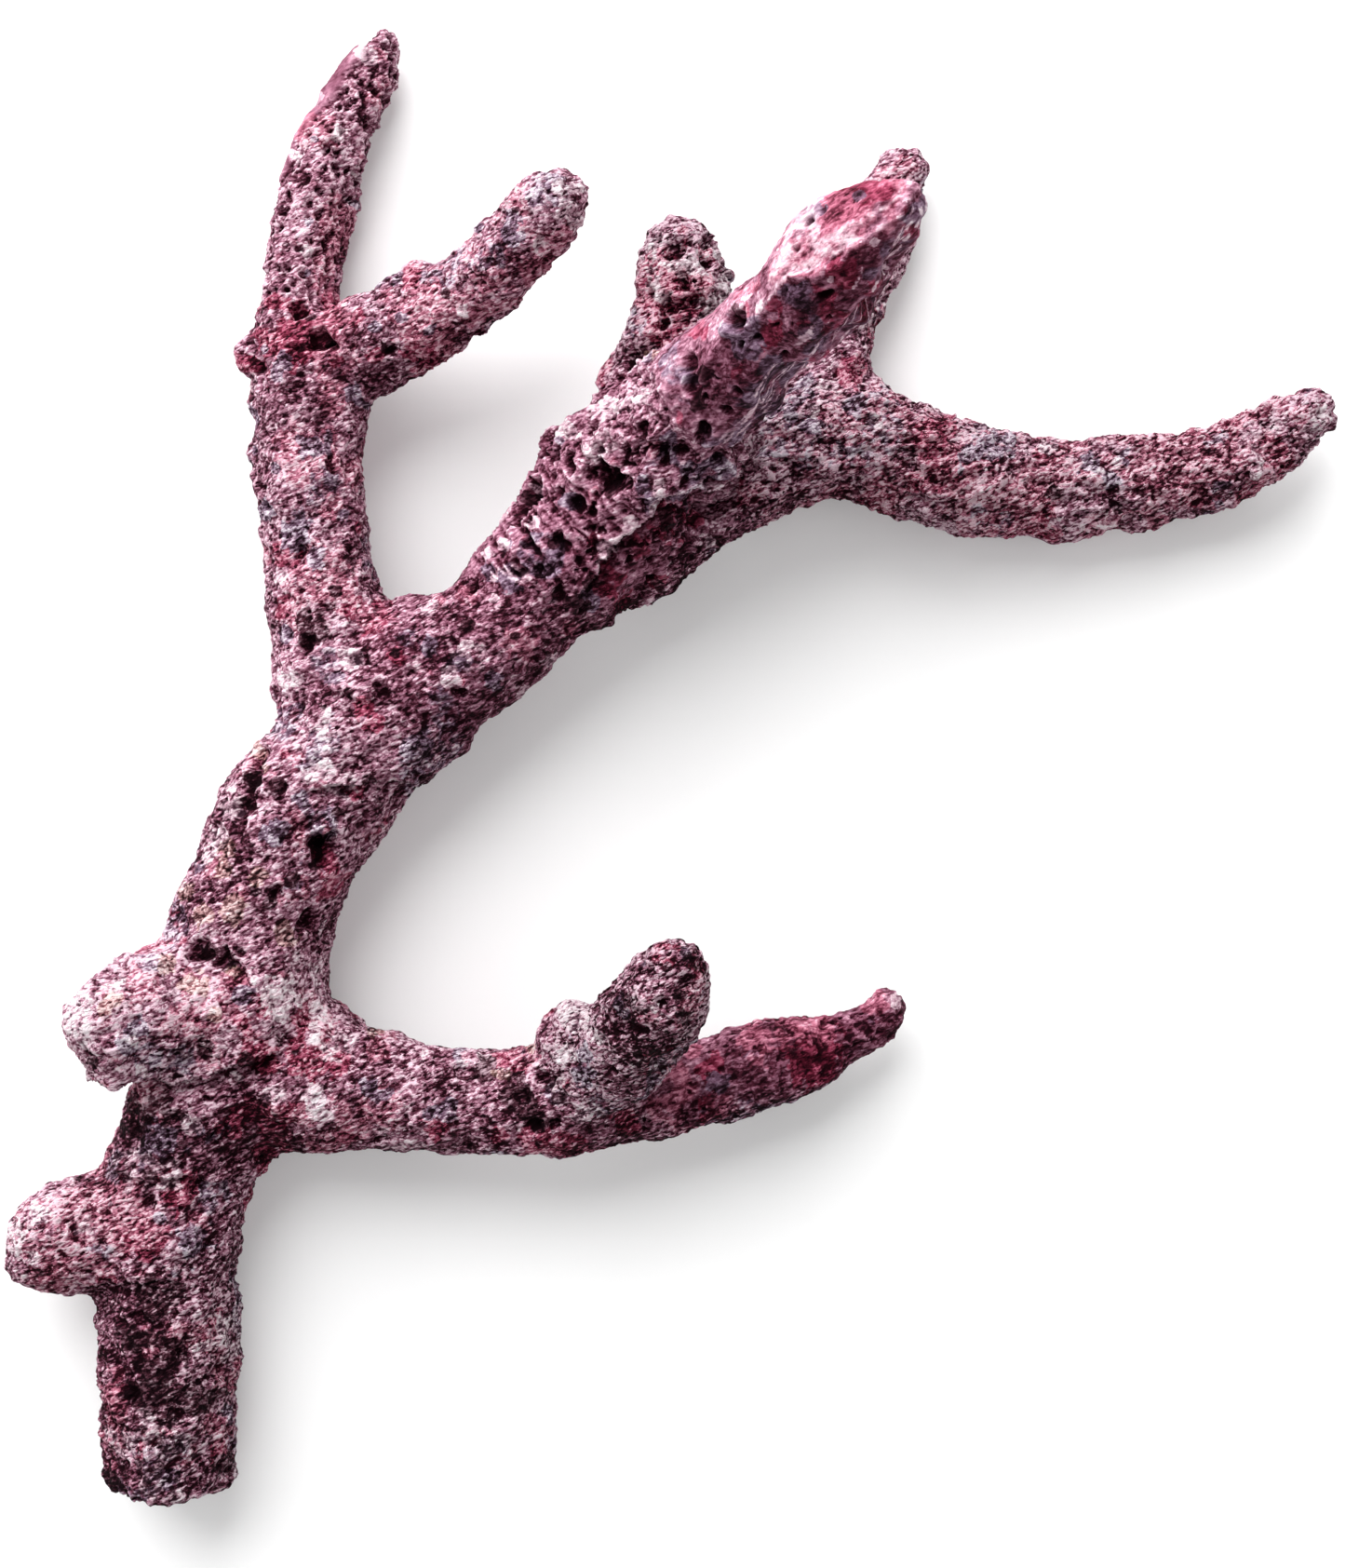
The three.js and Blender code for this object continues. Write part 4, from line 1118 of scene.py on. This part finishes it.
def crust_material():
    """Grains from maroon to pink, tinted in patches; holes dark inside and painted shade in hollows,
    painted light on crests.
    """
    material = bpy.data.materials.new("reef_crust")
    material.use_nodes = True
    n = Nodes(material)
    shader = n.tree.nodes["Principled BSDF"]

    place = n.add("ShaderNodeTexCoord").outputs["Object"]
    place = n.vector("MULTIPLY", place, (1 / MM,) * 3)
    turn = {"Vector": place, "Angle": -FLAKE_SLOPE}
    turned = n.add("ShaderNodeVectorRotate", turn, rotation_type="Z_AXIS").outputs[0]
    flat = n.vector("MULTIPLY", turned, FLAKE_SHAPE)
    specks = n.noise(flat, 0.8, 4, 1)
    grains = n.noise(flat, 2.4, 4, 2)
    clouds = n.noise(place, 8, 2.5, 3)
    flecks = n.noise(flat, 1.1, 3, 6)
    crumb, crumb_tone = n.crumbs(flat, 1.0)
    grit, grit_tone = n.crumbs(flat, 0.5)
    crease = n.steps(crumb, 0.24, 0.42)
    calm = n.attribute("calm")

    # the grain's tone follows the bump's height: partly its own mottling, partly painted shade in
    # creases, painted light on tops
    detail = n.weighted(
        0,
        (2.9, specks),
        (0.5, grains),
        (-0.2, crumb),
        (0.3, crumb_tone),
        (-0.15, grit),
        (0.8, grit_tone),
        (-0.3, crease),
        (0.06, n.attribute("nodule")),
        (0.08, n.attribute("grain")),
    )
    softer = n.weighted(1, (-0.7, calm))
    tone = n.weighted(
        n.math("MULTIPLY", detail, softer),
        (1.0, clouds),
        # holes are dark inside and also get painted shade; crest and swell paint light on raised relief
        # and shade in its hollows
        (-0.25, n.attribute("hole")),
        (-0.16, n.attribute("torn")),
        (0.065, n.attribute("crest")),
        (0.065, n.attribute("swell")),
        (1.0, n.attribute("lift")),
    )
    tone = n.math("ADD", tone, MIDDLE_TONE)
    shares = {}
    for number, name in enumerate(PATCHES):
        fray = n.noise(place, 1.8, 4, 10 + number)
        share = n.weighted(n.attribute(name), (0.78, n.math("MULTIPLY", fray, softer)))
        shares[name] = n.steps(share, 0.5, 0.7)
        tone = n.weighted(tone, (STRENGTHS[name][1], shares[name]))
    colour = n.ramp(tone, TONES["mauve"])
    for name, share in shares.items():
        share = n.math("MULTIPLY", share, STRENGTHS[name][0])
        colour = n.mix(share, colour, n.ramp(tone, TONES[name]))
    calmer = n.math("MAXIMUM", calm, 0)
    lift = n.attribute("lift")
    # pale flecks where the flecks stand up, dark where they sink: partly the crust's own specks, partly
    # painted light and shade
    sparse = n.weighted(flecks, (0.35, clouds), (0.08, lift), (-0.06, calmer))
    share = n.math("MULTIPLY", n.steps(sparse, 0.14, 0.19), 0.75)
    colour = n.mix(share, colour, n.ramp(tone, TONES["pale"]))
    sunken = n.weighted(flecks, (0.5, clouds), (0.25, lift), (0.06, calmer))
    share = n.math("MULTIPLY", n.steps(sunken, -0.15, -0.21), 0.8)
    colour = n.mix(share, colour, n.ramp(tone, TONES["dark"]))
    n.join(colour, shader.inputs["Base Color"])

    roughness = n.weighted(ROUGHNESS, (0.25, specks), (-0.06, n.attribute("crest")))
    n.join(roughness, shader.inputs["Roughness"])
    shader.inputs["Specular IOR Level"].default_value = SHINE

    height = n.weighted(0.5, (-0.35, crumb), (-0.4, grit), (1.8, specks), (0.7, flecks))
    relief = {"Strength": softer, "Distance": MM, "Height": height}
    n.join(n.add("ShaderNodeBump", relief).outputs["Normal"], shader.inputs["Normal"])
    return material


# Build

base, quads = smooth_body()
base, quads = refined(base, quads)
normal = normals_of(base, quads).astype(np.float32)
place = base - FOOT.astype(np.float32)

height, holes, torn, nodule, grain, strands = crust(place, normal)
height -= np.median(height) + SETTLE
points = base + normal * height[:, None]
points[:, 2] = np.maximum(points[:, 2], 0)
shown = tints(place, normal, nodule, grain, strands)

lift = lifts(place, normal, strands)
normal = normals_of(points, quads)

channels = {
    "hole": np.clip(holes / 1.5, 0, 1.5),
    "torn": torn,
    "calm": smooth_crust(place),
    "crest": relief(points, normal, quads, *FINE_RELIEF),
    "swell": relief(points, normal, quads, *BROAD_RELIEF),
    "nodule": nodule - 0.5,
    "grain": grain - 0.5,
    "lift": lift,
    **shown,
}

names = list(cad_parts)
trunk, trunk_top = names.index("trunk"), len(names)
middle = points[quads].mean(1)
labels = nearest_nodes(middle)
labels[(labels == trunk) & (middle[:, 1] - FOOT[1] > TRUNK_SPLIT)] = trunk_top
adjoining = neighbours_of(quads)
for _ in range(VOTES):
    labels = voted(labels, quads, len(names) + 1, len(points))
labels = islands_joined(labels, adjoining)
labels = pinches_opened(labels, quads, adjoining, len(points))

crust_look = crust_material()
for label, node in enumerate(names + ["trunk"]):
    name = "crust_" + (node if label < len(names) else "trunk_top")
    piece = piece_of(name, points, normal, quads, labels == label, adjoining, channels)
    piece.data.materials.append(crust_look)
    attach(piece, "root")
    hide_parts(node)

# Camera, floor and light

camera = bpy.data.objects.new("camera", bpy.data.cameras.new("camera"))
camera.location = [v * MM for v in EYE]
camera.data.lens = LENS
camera.data.sensor_width = SENSOR
camera.data.clip_start = CLIP_START * MM
bpy.context.collection.objects.link(camera)
bpy.context.scene.camera = camera

paper = bpy.data.materials.new("floor")
paper.use_nodes = True
for socket, value in {
    "Base Color": (FLOOR_GREY, FLOOR_GREY, FLOOR_GREY, 1),
    "Roughness": 0.9,
    "Specular IOR Level": 0.2,
    "Emission Color": (1, 1, 1, 1),
    "Emission Strength": FLOOR_GLOW,
}.items():
    paper.node_tree.nodes["Principled BSDF"].inputs[socket].default_value = value

floor_mesh = bpy.data.meshes.new("floor")
floor_corners = [(x * FLOOR_HALF, y * FLOOR_HALF, 0) for x, y in ((-1, -1), (1, -1), (1, 1), (-1, 1))]
floor_mesh.from_pydata(floor_corners, [], [(0, 1, 2, 3)])
floor_mesh.materials.append(paper)
floor = bpy.data.objects.new("floor", floor_mesh)
bpy.context.collection.objects.link(floor)

for name, place, size, power in LAMPS:
    light = bpy.data.lights.new(name, "AREA")
    light.shape = "DISK"
    light.size = size
    light.energy = power
    lamp = bpy.data.objects.new(name, light)
    lamp.location = place
    lamp.rotation_euler = (-Vector(place)).to_track_quat("-Z", "Y").to_euler()
    bpy.context.collection.objects.link(lamp)

world = bpy.data.worlds.new("studio")
world.use_nodes = True
background = world.node_tree.nodes["Background"]
background.inputs["Color"].default_value = (1, 1, 1, 1)
background.inputs["Strength"].default_value = STUDIO_LIGHT
bpy.context.scene.world = world
bpy.context.scene.view_settings.view_transform = "Standard"
